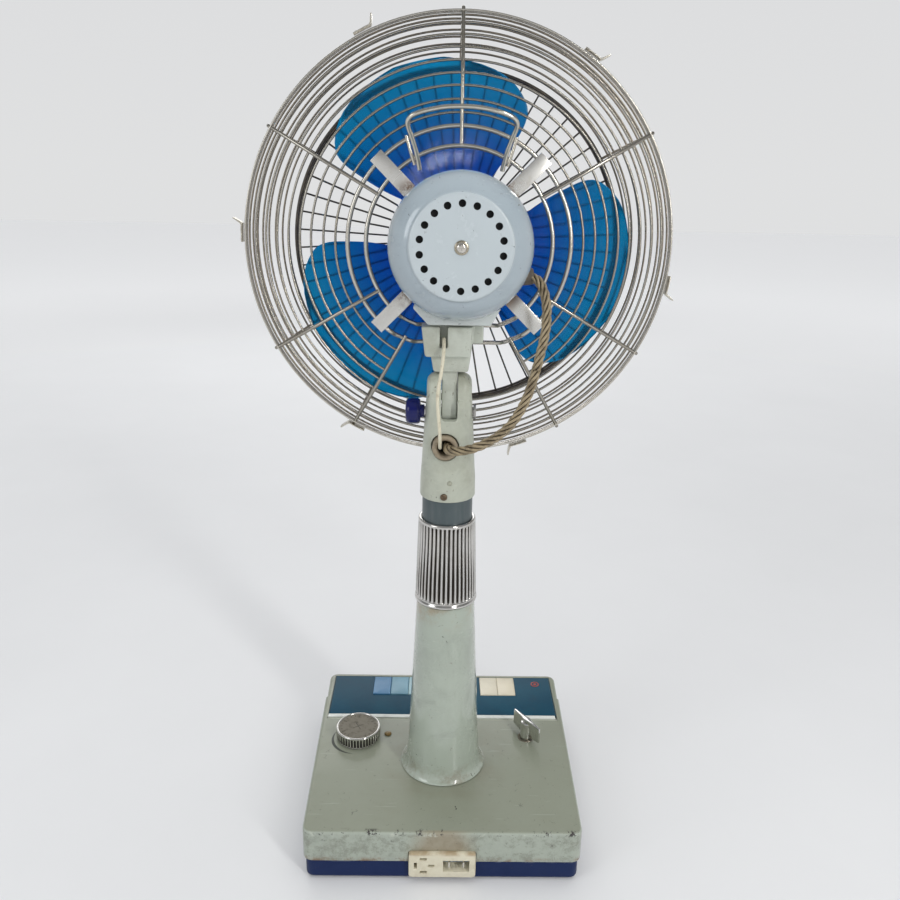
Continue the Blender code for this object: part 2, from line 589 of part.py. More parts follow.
def make_rotor(motor):
    shaft = ((0, -111), (SHAFT_R, -111), (SHAFT_R, 30), (0, 30))
    node("motor_shaft", turned(shaft, 12, "Y"), material("motor_shaft", (0.5, 0.5, 0.5), 0.25, 1.0), motor)
    core = ((SHAFT_R + GAP, -5), (29, -5), (29, 23.5), (SHAFT_R + GAP, 23.5))
    node("rotor", turned(core, 20, "Y"), material("rotor", (0.4, 0.4, 0.42), 0.5, 0.9), motor)
    hub = ((SHAFT_R + GAP, -101), (25, -101), (26, -98), (26, -72), (20, -66), (SHAFT_R + GAP, -66))
    blades = node("fan_blades", turned(hub, 24, "Y"), material("fan_blades", (0.0, 0.14, 0.42), 0.1, 0, 0.75), motor)
    for middle in (104, 224, 344):
        blade = bmesh.new()
        add_blade(blade, middle)
        boolean(blades, blade, "UNION")
    cap = ((SHAFT_R + GAP, -101.4), (16, -101.4), (16, -108), (9, -116), (0, -117.5), (0, -112), (SHAFT_R + GAP, -112))
    node("spinner", turned(cap, 20, "Y"), material("spinner", (0.02, 0.05, 0.25), 0.2), motor)


# ---------------------------------------------------------------- guards


def rear_depth(radius):
    """How far forward the rear guard's bowl lies at this radius."""
    inner = THICK_RINGS[1]
    share = max(0.0, (radius - inner) / (BAND_R - inner))
    return RING_Y + (BAND_Y - RING_Y) * share**2


def ring_points(radius, y, count=24, floor=None):
    """A ring of wire; with a floor, its bottom runs flat and forward, past the pedestal."""
    found = []
    for i in range(count):
        at = about(360 * i / count, radius, y)
        if floor:
            past = min(1.0, max(0.0, (-at.z - floor + 12) / 14))
            at.y -= 20 * past * past * (3 - 2 * past)
            at.z = max(at.z, -floor)
        found.append(at)
    return found


def make_rear_guard(motor):
    mat = material("rear_guard", (0.62, 0.60, 0.54), 0.3, 1.0)
    band = turned(((181.2, BAND_Y - 4), (BAND_R + 0.4, BAND_Y - 4), (BAND_R + 0.4, BAND_Y + 4), (181.2, BAND_Y + 4)),
                  36, "Y")
    for radius, floor in zip(THICK_RINGS, (69, 84)):
        wire(ring_points(radius, RING_Y, floor=floor), THICK_WIRE, True, band)
    inner, outer = THIN_RINGS
    beside_neck = [about(300 + 15 * i, inner, rear_depth(inner)) for i in range(21)]
    wire(beside_neck, THIN_WIRE, into=band)
    wire(ring_points(outer, rear_depth(outer)), THIN_WIRE, True, band)
    guard = node("rear_guard", band, mat, motor)
    ribs = None
    radii = (THICK_RINGS[0], THICK_RINGS[1], *THIN_RINGS, BAND_R)
    for angle in RIB_ANGLES:
        low = 87.0 if angle in (240, 300) else 0.0
        route = [about(angle, r, rear_depth(r) + 1.0) for r in radii if r > low]
        ribs = wire(route, RIB_WIRE, into=ribs)
    boolean(guard, ribs, "UNION")


def make_spider(motor):
    near, far = MOTOR_FRONT_Y - GAP, MOTOR_FRONT_Y - 2.3
    plate = ((22, far), (50, far), (50, near), (22, near))
    spider = node("guard_arms", turned(plate, 24, "Y"), material("guard_arms", (0.6, 0.59, 0.55), 0.3, 1.0), motor)
    for angle in (45, 225):
        arms = bmesh.new()
        for part in (angle, angle + 90):
            away = about(part, 1)
            across = about(part + 90, 6)
            ends = [(away * r + across * s) for r, s in ((40, 1), (40, -1), (97, -1), (97, 1))]
            prism([(p.x, p.z) for p in ends], far, near, "Y", into=arms)
        boolean(spider, arms, "UNION")


def make_handle(motor):
    half = ((33.5, -17.6, 57.5), (34.5, -16.5, 63), (37.5, -9, 78), (42.5, -1, 89), (41, 5, 94.5), (34, 7, 98.5),
            (20, 8, 102), (0, 8.5, 103.6))
    route = [*half, *((-x, y, z) for x, y, z in reversed(half[:-1]))]
    node("carry_handle", wire(route, 1.9, sides=6), material("carry_handle", (0.62, 0.60, 0.54), 0.25, 1.0), motor)


def make_front_guard(motor):
    rings = None
    for (radius, y), size in zip(FRONT_PROFILE, (1.8, 1.3, 2.2, 1.4, 1.8)):
        rings = wire(ring_points(radius, y), size, True, rings)
    guard = node("front_guard", rings, material("front_guard", (0.45, 0.45, 0.44), 0.3, 1.0), motor)
    wires = None
    for i in range(FRONT_WIRES):
        wires = wire([about(360 * i / FRONT_WIRES, r, y) for r, y in FRONT_PROFILE], 1.3, into=wires)
    boolean(guard, wires, "UNION")
    badge = ((0, -150.2), (22, -150.2), (22, -152.5), (18, -154), (0, -154.6))
    node("guard_badge", turned(badge, 20, "Y"), material("guard_badge", (0.02, 0.08, 0.22), 0.3), motor)


def make_clips(motor):
    """Each clip lies along the band towards -X at the top, and turns outwards about a pivot at its other end."""
    for i, angle in enumerate(CLIP_ANGLES, 1):
        pivot = about(angle, BAND_R + 3.0, BAND_Y)
        outline = ((1.5, -0.9), (-CLIP_LENGTH, -0.9), (-CLIP_LENGTH - 5, 6.5), (-CLIP_LENGTH - 3.6, 7.2),
                   (1.2 - CLIP_LENGTH, 0.7), (1.5, 0.9))
        clip = prism(outline, -4.5, 4.5, "Y")
        node(f"clip_{i}", clip, material(f"clip_{i}", (0.6, 0.59, 0.55), 0.3, 1.0), motor, pivot, (0, angle - 90, 0))


def make_leads(root):
    lead = smooth_route(LEAD_ROUTE, 9.0)
    tube_object("motor_lead", lead, LEAD_R, 2, material("motor_lead", (0.42, 0.36, 0.26), 0.6), root)
    cable = smooth_route(CABLE_ROUTE, 5.0)
    tube_object("control_cable", cable, CABLE_R, 2, material("control_cable", (0.60, 0.58, 0.48), 0.5), root)


def main():
    clear_scene()
    root = empty("model", place=MODEL_SHIFT)
    tilt = empty("tilt_axis", root, (0, 0, TILT_Z), (TILT_REST, 0, 0))
    motor = empty("motor_axis", tilt, (MOTOR_X, 0, MOTOR_Z))
    for make in (make_base_shell, make_base_tray, make_feet, make_control_panel, make_keys, make_timer, make_lever,
                 make_inlet, make_base_inside, make_column, make_clamp, make_pole, make_neck, make_tilt_knob,
                 make_leads):
        make(root)
    make_tilt_bracket(tilt)
    for make in (make_housing, make_cover, make_motor_inside, make_rotor, make_rear_guard, make_spider, make_handle,
                 make_front_guard, make_clips):
        make(motor)


main()
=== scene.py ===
"""Looks of a desk fan on an extending column: enamelled base, chrome clamp, wire guards, clear blue blades.

Shapes are worked out in millimetres in three local frames, then placed in the model's frame in metres.
BASE has its origin on the column's axis at the floor, TILT on the tilt bolt, and MOTOR on the motor's axis.
The fan blows towards -Y, so its back, with the inlet and the motor cover, faces +Y.
"""

import json
import math

import bmesh
import bpy
from mathutils import Matrix, Vector


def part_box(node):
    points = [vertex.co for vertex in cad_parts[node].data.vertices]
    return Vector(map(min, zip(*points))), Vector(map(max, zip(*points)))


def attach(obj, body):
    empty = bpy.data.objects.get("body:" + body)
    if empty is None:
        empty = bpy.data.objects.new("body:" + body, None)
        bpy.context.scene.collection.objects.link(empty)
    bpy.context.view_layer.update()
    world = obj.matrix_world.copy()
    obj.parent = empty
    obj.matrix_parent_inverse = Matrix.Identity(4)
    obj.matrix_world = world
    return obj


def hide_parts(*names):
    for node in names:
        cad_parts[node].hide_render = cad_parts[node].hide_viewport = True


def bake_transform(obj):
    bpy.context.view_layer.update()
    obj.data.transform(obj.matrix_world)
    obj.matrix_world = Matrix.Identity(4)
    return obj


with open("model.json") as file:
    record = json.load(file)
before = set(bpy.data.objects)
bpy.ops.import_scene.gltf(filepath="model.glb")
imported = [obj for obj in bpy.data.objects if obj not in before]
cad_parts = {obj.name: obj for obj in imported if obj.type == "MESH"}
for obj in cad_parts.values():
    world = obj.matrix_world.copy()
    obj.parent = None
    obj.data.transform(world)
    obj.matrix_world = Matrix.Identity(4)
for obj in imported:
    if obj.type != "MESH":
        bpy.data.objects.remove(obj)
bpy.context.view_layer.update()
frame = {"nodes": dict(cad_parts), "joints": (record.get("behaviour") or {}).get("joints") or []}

MM = 0.001
JOINTS = {joint["name"]: joint for joint in frame["joints"]}
SPIN_PIVOT_Y = -60.0


def local_frame(origin, turn=0.0):
    return Matrix.Translation(origin) @ Matrix.Rotation(turn, 4, "X") @ Matrix.Scale(MM, 4)


COLUMN_AT = (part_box("column")[0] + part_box("column")[1]) / 2
BASE = local_frame((COLUMN_AT.x, COLUMN_AT.y, 0.0))
SWING_AXIS = Vector(JOINTS["head_swing"]["axis"])
REST_TILT = math.atan2(-SWING_AXIS.y, SWING_AXIS.z)
TILT = local_frame(JOINTS["head_tilt"]["pos_m"], REST_TILT)
MOTOR = local_frame(JOINTS["blade_spin"]["pos_m"], REST_TILT) @ Matrix.Translation((0, -SPIN_PIVOT_Y, 0))

BASE_TOP, SHELL_BOTTOM, TRAY_TOP, TRAY_BOTTOM = 54.0, 22.3, 21.7, 1.8
BASE_WALL = 2.5
BASE_REAR_Y, BASE_FRONT_Y = 98.0, -145.0
MOTOR_R, SEAM_Y, COVER_FACE_Y = 57.0, 28.0, 58.0
BAND_R, BAND_Y, RING_Y = 182.0, -46.0, -22.0
THICK_RINGS = (77.6, 92.8)


# ---------------------------------------------------------------- camera


def make_camera():
    """Behind the fan and above it, looking down by 18.6 degrees."""
    pitch, yaw, roll = math.radians(18.61), math.radians(0.82), math.radians(-1.09)
    ahead = Vector((-math.sin(yaw) * math.cos(pitch), -math.cos(yaw) * math.cos(pitch), -math.sin(pitch)))
    right = ahead.cross(Vector((0, 0, 1))).normalized()
    up = right.cross(ahead)
    across = math.cos(roll) * right - math.sin(roll) * up
    along = math.cos(roll) * up + math.sin(roll) * right
    data = bpy.data.cameras.new("camera")
    data.lens = 34.0
    camera = bpy.data.objects.new("camera", data)
    bpy.context.collection.objects.link(camera)
    turn = Matrix((across, along, -ahead)).transposed().to_4x4()
    camera.matrix_world = Matrix.Translation(BASE @ Vector((8.45, 693.9, 607.0))) @ turn
    bpy.context.scene.camera = camera


# ---------------------------------------------------------------- surfaces


class Surface:
    """A Principled material, and short ways to add to its nodes. Patterns are sized in metres."""

    def __init__(self, name, color, roughness=0.4, metallic=0.0, **sockets):
        self.material = bpy.data.materials.new(name)
        self.material.use_nodes = True
        self.tree = self.material.node_tree
        self.shader = self.tree.nodes["Principled BSDF"]
        self.place = self.add("ShaderNodeTexCoord").outputs["Object"]
        self.set("Base Color", color)
        self.set("Roughness", roughness)
        self.set("Metallic", metallic)
        for socket, value in sockets.items():
            self.set(socket.replace("_", " "), value)

    def add(self, kind, inputs=(), **settings):
        made = self.tree.nodes.new(kind)
        for key, value in settings.items():
            setattr(made, key, value)
        for key, value in dict(inputs).items():
            self.feed(made.inputs[key], value)
        return made

    def feed(self, socket, value):
        if isinstance(value, bpy.types.NodeSocket):
            self.tree.links.new(value, socket)
        elif isinstance(value, (tuple, list)) and len(value) == 3 and socket.type == "RGBA":
            socket.default_value = (*value, 1.0)
        else:
            socket.default_value = value

    def set(self, socket, value):
        self.feed(self.shader.inputs[socket], value)

    def noise(self, scale, detail=4.0, roughness=0.55, stretch=(1, 1, 1), distortion=0.0):
        where = self.add("ShaderNodeMapping", {"Vector": self.place, "Scale": Vector(stretch)}).outputs[0]
        inputs = {"Vector": where, "Scale": scale, "Detail": detail, "Roughness": roughness,
                  "Distortion": distortion}
        return self.add("ShaderNodeTexNoise", inputs).outputs[0]

    def step(self, value, low, high):
        """0 below low, 1 above high, smooth between; or the other way round if low is above high."""
        flip = low > high
        limits = {"Value": value, "From Min": min(low, high), "From Max": max(low, high)}
        limits.update({"To Min": 1.0, "To Max": 0.0} if flip else {})
        return self.add("ShaderNodeMapRange", limits, interpolation_type="SMOOTHSTEP").outputs[0]

    def math(self, operation, a, b=0.0):
        made = self.add("ShaderNodeMath", operation=operation)
        self.feed(made.inputs[0], a)
        self.feed(made.inputs[1], b)
        return made.outputs[0]

    def both(self, a, b):
        return self.math("MULTIPLY", a, b)

    def mix(self, share, a, b):
        made = self.add("ShaderNodeMix", data_type="RGBA")
        self.feed(made.inputs[0], share)
        self.feed(made.inputs[6], a)
        self.feed(made.inputs[7], b)
        return made.outputs[2]

    def between(self, share, low, high):
        return self.add("ShaderNodeMapRange", {"Value": share, "To Min": low, "To Max": high}).outputs[0]

    def coordinate(self, axis):
        return self.add("ShaderNodeSeparateXYZ", {"Vector": self.place}).outputs[axis]

    def near(self, axis, at, width):
        """1 where this coordinate is at a value, and 0 further from it than width; both in metres."""
        apart = self.math("ABSOLUTE", self.math("SUBTRACT", self.coordinate(axis), at))
        return self.step(apart, width, width * 0.25)

    def away(self, centre, axes="XYZ"):
        """The distance from a point in metres, along some axes only."""
        apart = [self.math("SUBTRACT", self.coordinate(axis), centre["XYZ".index(axis)]) for axis in axes]
        total = 0.0
        for part in apart:
            total = self.math("ADD", total, self.both(part, part))
        return self.math("SQRT", total)

    def bump(self, height, strength=0.3, distance=0.0005):
        inputs = {"Height": height, "Strength": strength, "Distance": distance}
        self.set("Normal", self.add("ShaderNodeBump", inputs).outputs[0])
        return self


def shade(color, by):
    return tuple(min(1.0, c * by) for c in color)


def enamel(name, color, roughness=0.3, dirt=0.4, chips=0.0, edge=None, stains=(), coat=0.25, shine=0.5):
    """Old gloss paint: uneven tone, rubbed-in dirt, fine scratches, and chips down to dark primer.

    edge makes the mask of where most chips are; stains are (mask maker, color) laid over the paint.
    """
    s = Surface(name, color, roughness, Coat_Weight=coat, Coat_Roughness=0.08, Specular_IOR_Level=shine)
    tone = s.mix(s.noise(7, 5), shade(color, 0.86), shade(color, 1.1))
    rubbed = s.step(s.noise(28, 8, 0.72, distortion=0.6), 0.47, 0.78)
    tone = s.mix(s.both(rubbed, dirt), tone, shade(color, 0.42))
    speck = s.step(s.noise(260, 3, 0.6), 0.66, 0.74)
    tone = s.mix(s.both(speck, dirt), tone, (0.12, 0.09, 0.06))
    for mask, stain in stains:
        tone = s.mix(mask(s), tone, stain)
    scratch = s.step(s.noise(30, 2, 0.4, (1, 14, 14), 0.2), 0.70, 0.73)
    tone = s.mix(s.both(scratch, 0.2), tone, shade(color, 1.3))
    height = s.noise(420, 2)
    if chips:
        where = s.step(s.noise(170, 6, 0.75, distortion=1.0), 0.67 - 0.1 * chips, 0.69 - 0.1 * chips)
        if edge:
            broken = s.step(s.noise(48, 7, 0.8, distortion=1.5), 0.56, 0.585)
            where = s.math("MAXIMUM", s.both(edge(s), broken), s.both(where, 0.5))
        tone = s.mix(where, tone, (0.035, 0.03, 0.028))
        height = s.math("SUBTRACT", s.both(height, 0.15), where)
        s.set("Coat Weight", coat)
    s.set("Base Color", tone)
    s.set("Roughness", s.between(rubbed, roughness, roughness + 0.22))
    return s.bump(height, 0.12 if not chips else 0.3, 0.0003).material


def plated(name, color=(0.68, 0.66, 0.62), roughness=0.16, tarnish=0.4, rust=0.15, brushed=None):
    """Old nickel or chrome plate: cloudy tarnish, dark pits, a little rust; brushed stretches its grain."""
    s = Surface(name, color, roughness, 1.0)
    cloud = s.step(s.noise(45, 6, 0.7), 0.42, 0.74)
    tone = s.mix(s.both(cloud, tarnish), color, (0.30, 0.25, 0.17))
    pits = s.step(s.noise(420, 4, 0.7), 0.60, 0.70)
    tone = s.mix(s.both(pits, rust), tone, (0.10, 0.05, 0.025))
    grain = s.noise(300, 4, 0.6, brushed or (1, 1, 1))
    s.set("Base Color", tone)
    worn = s.math("MAXIMUM", s.both(cloud, tarnish), s.both(pits, rust))
    s.set("Roughness", s.math("ADD", s.between(grain, roughness * 0.8, roughness * 1.3), s.both(worn, 0.3)))
    return s.bump(grain, 0.25 if brushed else 0.06, 0.0002).material


def knurled(name, color, centre, radii, heights, depth):
    """Plate with dirt and painted shade in its grooves; the crests' radius runs from one to the other between
    two heights.
    """
    s = Surface(name, color, 0.15, 1.0)
    share = s.step(s.coordinate("Z"), *heights)
    crest = s.between(share, *radii)
    # The groove bottoms are painted near-black: dirt and painted shade in the flutes.
    groove_dirt_and_shade = s.step(s.math("SUBTRACT", crest, s.away(centre, "XY")), depth * 0.25, depth * 0.8)
    within = s.both(s.step(s.coordinate("Z"), heights[0] - 0.0006, heights[0]),
                    s.step(s.coordinate("Z"), heights[1] + 0.0006, heights[1]))
    groove_dirt_and_shade = s.both(groove_dirt_and_shade, within)
    cloud = s.step(s.noise(60, 6, 0.7), 0.42, 0.74)
    tone = s.mix(s.both(cloud, 0.3), color, (0.28, 0.24, 0.17))
    s.set("Base Color", s.mix(groove_dirt_and_shade, tone, (0.035, 0.03, 0.025)))
    s.set("Roughness", s.between(groove_dirt_and_shade, 0.15, 0.6))
    return s.bump(s.noise(300, 4), 0.06, 0.0002).material


def plastic(name, color, roughness=0.3, dirt=0.2, grain=900, strength=0.08, **sockets):
    """Moulded plastic: a little uneven, dirt in patches and a fine grain."""
    s = Surface(name, color, roughness, **sockets)
    patch = s.step(s.noise(60, 6, 0.7), 0.45, 0.8)
    tone = s.mix(s.noise(18, 3), shade(color, 0.92), shade(color, 1.08))
    s.set("Base Color", s.mix(s.both(patch, dirt), tone, shade(color, 0.35)))
    s.set("Roughness", s.between(patch, roughness, roughness + 0.2))
    return s.bump(s.noise(grain, 3), strength, 0.0002).material


# ---------------------------------------------------------------- shapes

AXIS_TURN = {
    "X": Matrix.Rotation(math.pi / 2, 4, "Y"),
    "Y": Matrix.Rotation(-math.pi / 2, 4, "X"),
    "Z": Matrix.Identity(4),
}
FLAT_PLACE = {"X": lambda a, b, h: (h, a, b), "Y": lambda a, b, h: (a, h, b), "Z": lambda a, b, h: (a, b, h)}


class Outline:
    """A flat outline with rounded corners; a corner's third value is its own rounding."""

    def __init__(self, corners, rounding=0.0, steps=5, closed=True):
        self.corners = [Vector(corner[:2]) for corner in corners]
        self.reach = [corner[2] if len(corner) > 2 else rounding for corner in corners]
        self.steps, self.closed = steps, closed
        pairs = zip(self.corners, self.corners[1:] + self.corners[:1])
        self.sign = 1 if sum(a.x * b.y - b.x * a.y for a, b in pairs) > 0 else -1

    def moved(self, i, by):
        """Corner i, and its rounding, on the outline moved inwards."""
        at, count = self.corners[i], len(self.corners)
        before = (at - self.corners[i - 1]).normalized()
        after = (self.corners[(i + 1) % count] - at).normalized()
        normals = [Vector((-along.y, along.x)) * self.sign for along in (before, after)]
        middle = (normals[0] + normals[1]) / max(0.05, 1 + normals[0].dot(normals[1]))
        turn = math.atan2(before.cross(after), before.dot(after)) * self.sign
        return at + middle * by, max(0.03, self.reach[i] - by * math.tan(turn / 2))

    def points(self, by=0.0):
        count = len(self.corners)
        moved = [self.moved(i, by) if by else (self.corners[i], self.reach[i]) for i in range(count)]
        found = []
        for i, (at, reach) in enumerate(moved):
            if self.reach[i] <= 0 or (not self.closed and i in (0, count - 1)):
                found.append(tuple(at))
                continue
            before, after = moved[i - 1][0] - at, moved[(i + 1) % count][0] - at
            start = at + before.normalized() * min(reach, before.length * 0.49)
            end = at + after.normalized() * min(reach, after.length * 0.49)
            for k in range(self.steps + 1):
                t = k / self.steps
                found.append(tuple((1 - t) ** 2 * start + 2 * t * (1 - t) * at + t * t * end))
        return found


def eased(corners, rounding, steps=5, closed=True):
    return Outline(corners, rounding, steps, closed).points()


def join(bm, low, high):
    """Faces between two rings of points, one of which may be a single point."""
    count = max(len(low), len(high))
    for i in range(count if count > 1 else 0):
        j = (i + 1) % count
        if len(low) == 1:
            bm.faces.new((low[0], high[j], high[i]))
        elif len(high) == 1:
            bm.faces.new((low[i], low[j], high[0]))
        else:
            bm.faces.new((low[i], low[j], high[j], high[i]))


def gathered(bm, into):
    if into is None:
        return bm
    mesh = bpy.data.meshes.new("gathered")
    bm.to_mesh(mesh)
    bm.free()
    into.from_mesh(mesh)
    bpy.data.meshes.remove(mesh)
    return into


def lathe(profile, steps=96, closed=False, flutes=None, axis="Z", place=(0, 0, 0), into=None):
    """Turns an outline of (radius, height). flutes is (count, depth, low, high): grooves between heights."""
    bm = bmesh.new()
    rings = []
    for radius, height in profile:
        if radius < 1e-6:
            rings.append([bm.verts.new((0, 0, height))])
            continue
        ring = []
        for i in range(steps):
            angle = math.tau * i / steps
            reach = radius
            if flutes and flutes[2] <= height <= flutes[3]:
                reach -= flutes[1] * (0.5 - 0.5 * math.cos(flutes[0] * angle))
            ring.append(bm.verts.new((reach * math.cos(angle), reach * math.sin(angle), height)))
        rings.append(ring)
    for low, high in zip(rings, rings[1:] + (rings[:1] if closed else [])):
        join(bm, low, high)
    bm.transform(Matrix.Translation(place) @ AXIS_TURN[axis])
    return gathered(bm, into)


def slab(outline, low, high, edge=0.6, axis="Z", into=None, steps=3):
    """An outline extruded between two heights along an axis, with round edges at both ends."""
    bm = bmesh.new()
    put = FLAT_PLACE[axis]
    turns = [math.pi / 2 * k / steps for k in range(steps + 1)]
    levels = [(edge * (1 - math.sin(t)), low + edge * (1 - math.cos(t))) for t in turns]
    levels += [(edge * (1 - math.cos(t)), high - edge * (1 - math.sin(t))) for t in turns]
    rings = [[bm.verts.new(put(a, b, h)) for a, b in outline.points(by)] for by, h in levels]
    for a, b in zip(rings, rings[1:]):
        join(bm, a, b)
    bm.faces.new(rings[0])
    bm.faces.new(rings[-1])
    return gathered(bm, into)


def rectangle(x, y):
    return ((x[0], y[0]), (x[1], y[0]), (x[1], y[1]), (x[0], y[1]))


def block(x, y, z, corner=1.0, edge=0.6, axis="Z", into=None):
    """A block with round edges; axis is the one along which its corners run."""
    spans = {"X": (y, z, x), "Y": (x, z, y), "Z": (x, y, z)}[axis]
    return slab(Outline(rectangle(*spans[:2]), corner), *spans[2], edge, axis, into)


def temporary(bm):
    mesh = bpy.data.meshes.new("temporary")
    bmesh.ops.recalc_face_normals(bm, faces=bm.faces)
    bm.to_mesh(mesh)
    bm.free()
    made = bpy.data.objects.new("temporary", mesh)
    bpy.context.collection.objects.link(made)
    return made


def baked(made, extra=()):
    """The object's mesh with its modifiers, as a bmesh; the object and the extra ones are removed."""
    graph = bpy.context.evaluated_depsgraph_get()
    bm = bmesh.new()
    bm.from_mesh(made.evaluated_get(graph).to_mesh())
    for gone in (made, *extra):
        bpy.data.objects.remove(gone, do_unlink=True)
    return bm


def carved(bm, *tools, operation="DIFFERENCE"):
    """The shape with these cut from it, or joined to it."""
    made = temporary(bm)
    helpers = [temporary(tool) for tool in tools]
    for helper in helpers:
        change = made.modifiers.new("change", "BOOLEAN")
        change.operation = operation
        change.object = helper
        change.solver = "EXACT"
    return baked(made, helpers)


def cast(bm, voxel=0.7, rounds=5):
    """The shape with every edge softened, as a sand casting under paint."""
    made = temporary(bm)
    remesh = made.modifiers.new("voxels", "REMESH")
    remesh.mode = "VOXEL"
    remesh.voxel_size = voxel
    smooth = made.modifiers.new("smooth", "SMOOTH")
    smooth.iterations = rounds
    smooth.factor = 0.5
    return baked(made)


def piece(name, bm, material, body, place, replaces=(), sharp=32):
    """Turns a bmesh in a local frame into a visible piece that rides on a body."""
    bm.transform(place)
    bmesh.ops.recalc_face_normals(bm, faces=bm.faces)
    mesh = bpy.data.meshes.new(name)
    bm.to_mesh(mesh)
    bm.free()
    mesh.shade_smooth()
    mesh.set_sharp_from_angle(angle=math.radians(sharp))
    mesh.materials.append(material)
    made = bpy.data.objects.new(name, mesh)
    bpy.context.collection.objects.link(made)
    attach(made, body)
    if replaces:
        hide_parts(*replaces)
    return made


def on_head(name, bm, material, replaces=(), sharp=32):
    """A piece in the motor's frame that rides on the head."""
    return piece(name, bm, material, "head", MOTOR, replaces, sharp)


def wirework(name, routes, material, replaces=(), level=2):
    """Bent wires on the head as one piece, in the motor's frame: each route is (points, radius, closed)."""
    curve = bpy.data.curves.new(name, "CURVE")
    curve.dimensions = "3D"
    curve.bevel_depth = MM
    curve.bevel_resolution = level
    curve.use_fill_caps = True
    for points, radius, closed in routes:
        spline = curve.splines.new("POLY")
        spline.points.add(len(points) - 1)
        spline.use_cyclic_u = closed
        for at, point in zip(spline.points, points):
            at.co = (*(MOTOR @ Vector(point)), 1.0)
            at.radius = radius
    curve.materials.append(material)
    made = bpy.data.objects.new(name, curve)
    bpy.context.collection.objects.link(made)
    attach(made, "head")
    if replaces:
        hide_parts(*replaces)
    return made


def flowing(points, spacing):
    """Points a spacing apart on the smooth curve through these."""
    route = [Vector(p) for p in points]
    route = [2 * route[0] - route[1], *route, 2 * route[-1] - route[-2]]
    found = []
    for a, b, c, d in zip(route, route[1:], route[2:], route[3:]):
        steps = max(1, round((c - b).length / spacing))
        for i in range(steps):
            t = i / steps
            found.append(0.5 * (2 * b + (c - a) * t + (2 * a - 5 * b + 4 * c - d) * t**2
                                + (3 * b - a - 3 * c + d) * t**3))
    return [*found, route[-2]]


def about(angle, radius, y=0.0):
    """A point at this angle about the motor's axis, counted from the -X side upwards."""
    return Vector((-radius * math.cos(math.radians(angle)), y, radius * math.sin(math.radians(angle))))


# ---------------------------------------------------------------- leads

LEAD_R, CABLE_R = 4.0, 1.5
LEAD_ROUTE_M = (
    (-0.0626, -0.006, 0.5212), (-0.0691, 0.0, 0.5195), (-0.0738, 0.005, 0.5128), (-0.0764, 0.010, 0.5024),
    (-0.0768, 0.015, 0.4912), (-0.0755, 0.020, 0.4792), (-0.0724, 0.025, 0.4656), (-0.0686, 0.030, 0.4512),
    (-0.0638, 0.034, 0.4356), (-0.0576, 0.038, 0.4217), (-0.0492, 0.040, 0.4088), (-0.0387, 0.041, 0.3989),
    (-0.0270, 0.041, 0.3918), (-0.0155, 0.039, 0.3868), (-0.0050, 0.034, 0.3836), (0.0002, 0.027, 0.3826),
    (0.0009, 0.020, 0.3824), (0.0009, 0.013, 0.3824),
)
LEAD_SPLIT = 7
CABLE_ROUTE_M = (
    (0.0053, 0.014, 0.4730), (0.0052, 0.021, 0.4682), (0.0058, 0.027, 0.4594), (0.0071, 0.030, 0.4486),
    (0.0090, 0.031, 0.4373), (0.0098, 0.0315, 0.4273), (0.0094, 0.032, 0.4184), (0.0084, 0.0325, 0.4077),
    (0.0076, 0.032, 0.3975), (0.0073, 0.029, 0.3885), (0.0072, 0.024, 0.3832), (0.0072, 0.019, 0.3824),
    (0.0072, 0.013, 0.3824),
)
SHIFT = Vector((COLUMN_AT.x, COLUMN_AT.y, 0.0))


def length_of(path):
    return sum((b - a).length for a, b in zip(path, path[1:]))


def strand_mesh(path, strands, orbit, radius, turn_length, phase, shade_core=0.0):
    """Wires laid round a path as a rope: each is a tube that winds about it; the core is a tube inside them,
    on the second material, which paints the shade in the gaps between the wires.
    """
    bm = bmesh.new()
    side = None
    frames = []
    for i, at in enumerate(path):
        along = (path[min(i + 1, len(path) - 1)] - path[max(i - 1, 0)]).normalized()
        side = along.orthogonal() if side is None else side
        side = (side - along * side.dot(along)).normalized()
        frames.append((at, along, side, along.cross(side)))
    sides = 8
    laid = [(strand, orbit, radius) for strand in range(strands)] + ([(0, 0.0, shade_core)] if shade_core else [])
    for strand, orbit, radius in laid:
        before = len(bm.faces)
        rings = []
        run = 0.0
        for i, (at, along, across, up) in enumerate(frames):
            run += (at - frames[i - 1][0]).length if i else 0.0
            angle = phase + math.tau * (strand / strands + run / turn_length)
            out = across * math.cos(angle) + up * math.sin(angle)
            round_it = along.cross(out)
            centre = at + out * orbit
            ring = []
            for k in range(sides):
                turn = math.tau * k / sides
                reach = out * math.cos(turn) + round_it * math.sin(turn)
                ring.append(bm.verts.new(centre + radius * reach))
            rings.append(ring)
        for low, high in zip(rings, rings[1:]):
            join(bm, low, high)
        bm.faces.new(rings[0])
        bm.faces.new(rings[-1])
        if shade_core and orbit == 0.0:
            bm.faces.ensure_lookup_table()
            for face in bm.faces[before:]:
                face.material_index = 1
    return bm


def cord_piece(name, bm, materials, replaces):
    mesh = bpy.data.meshes.new(name)
    bmesh.ops.recalc_face_normals(bm, faces=bm.faces)
    bm.to_mesh(mesh)
    bm.free()
    mesh.shade_smooth()
    for material in materials:
        mesh.materials.append(material)
    made = bpy.data.objects.new(name, mesh)
    bpy.context.collection.objects.link(made)
    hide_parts(replaces)
    return made


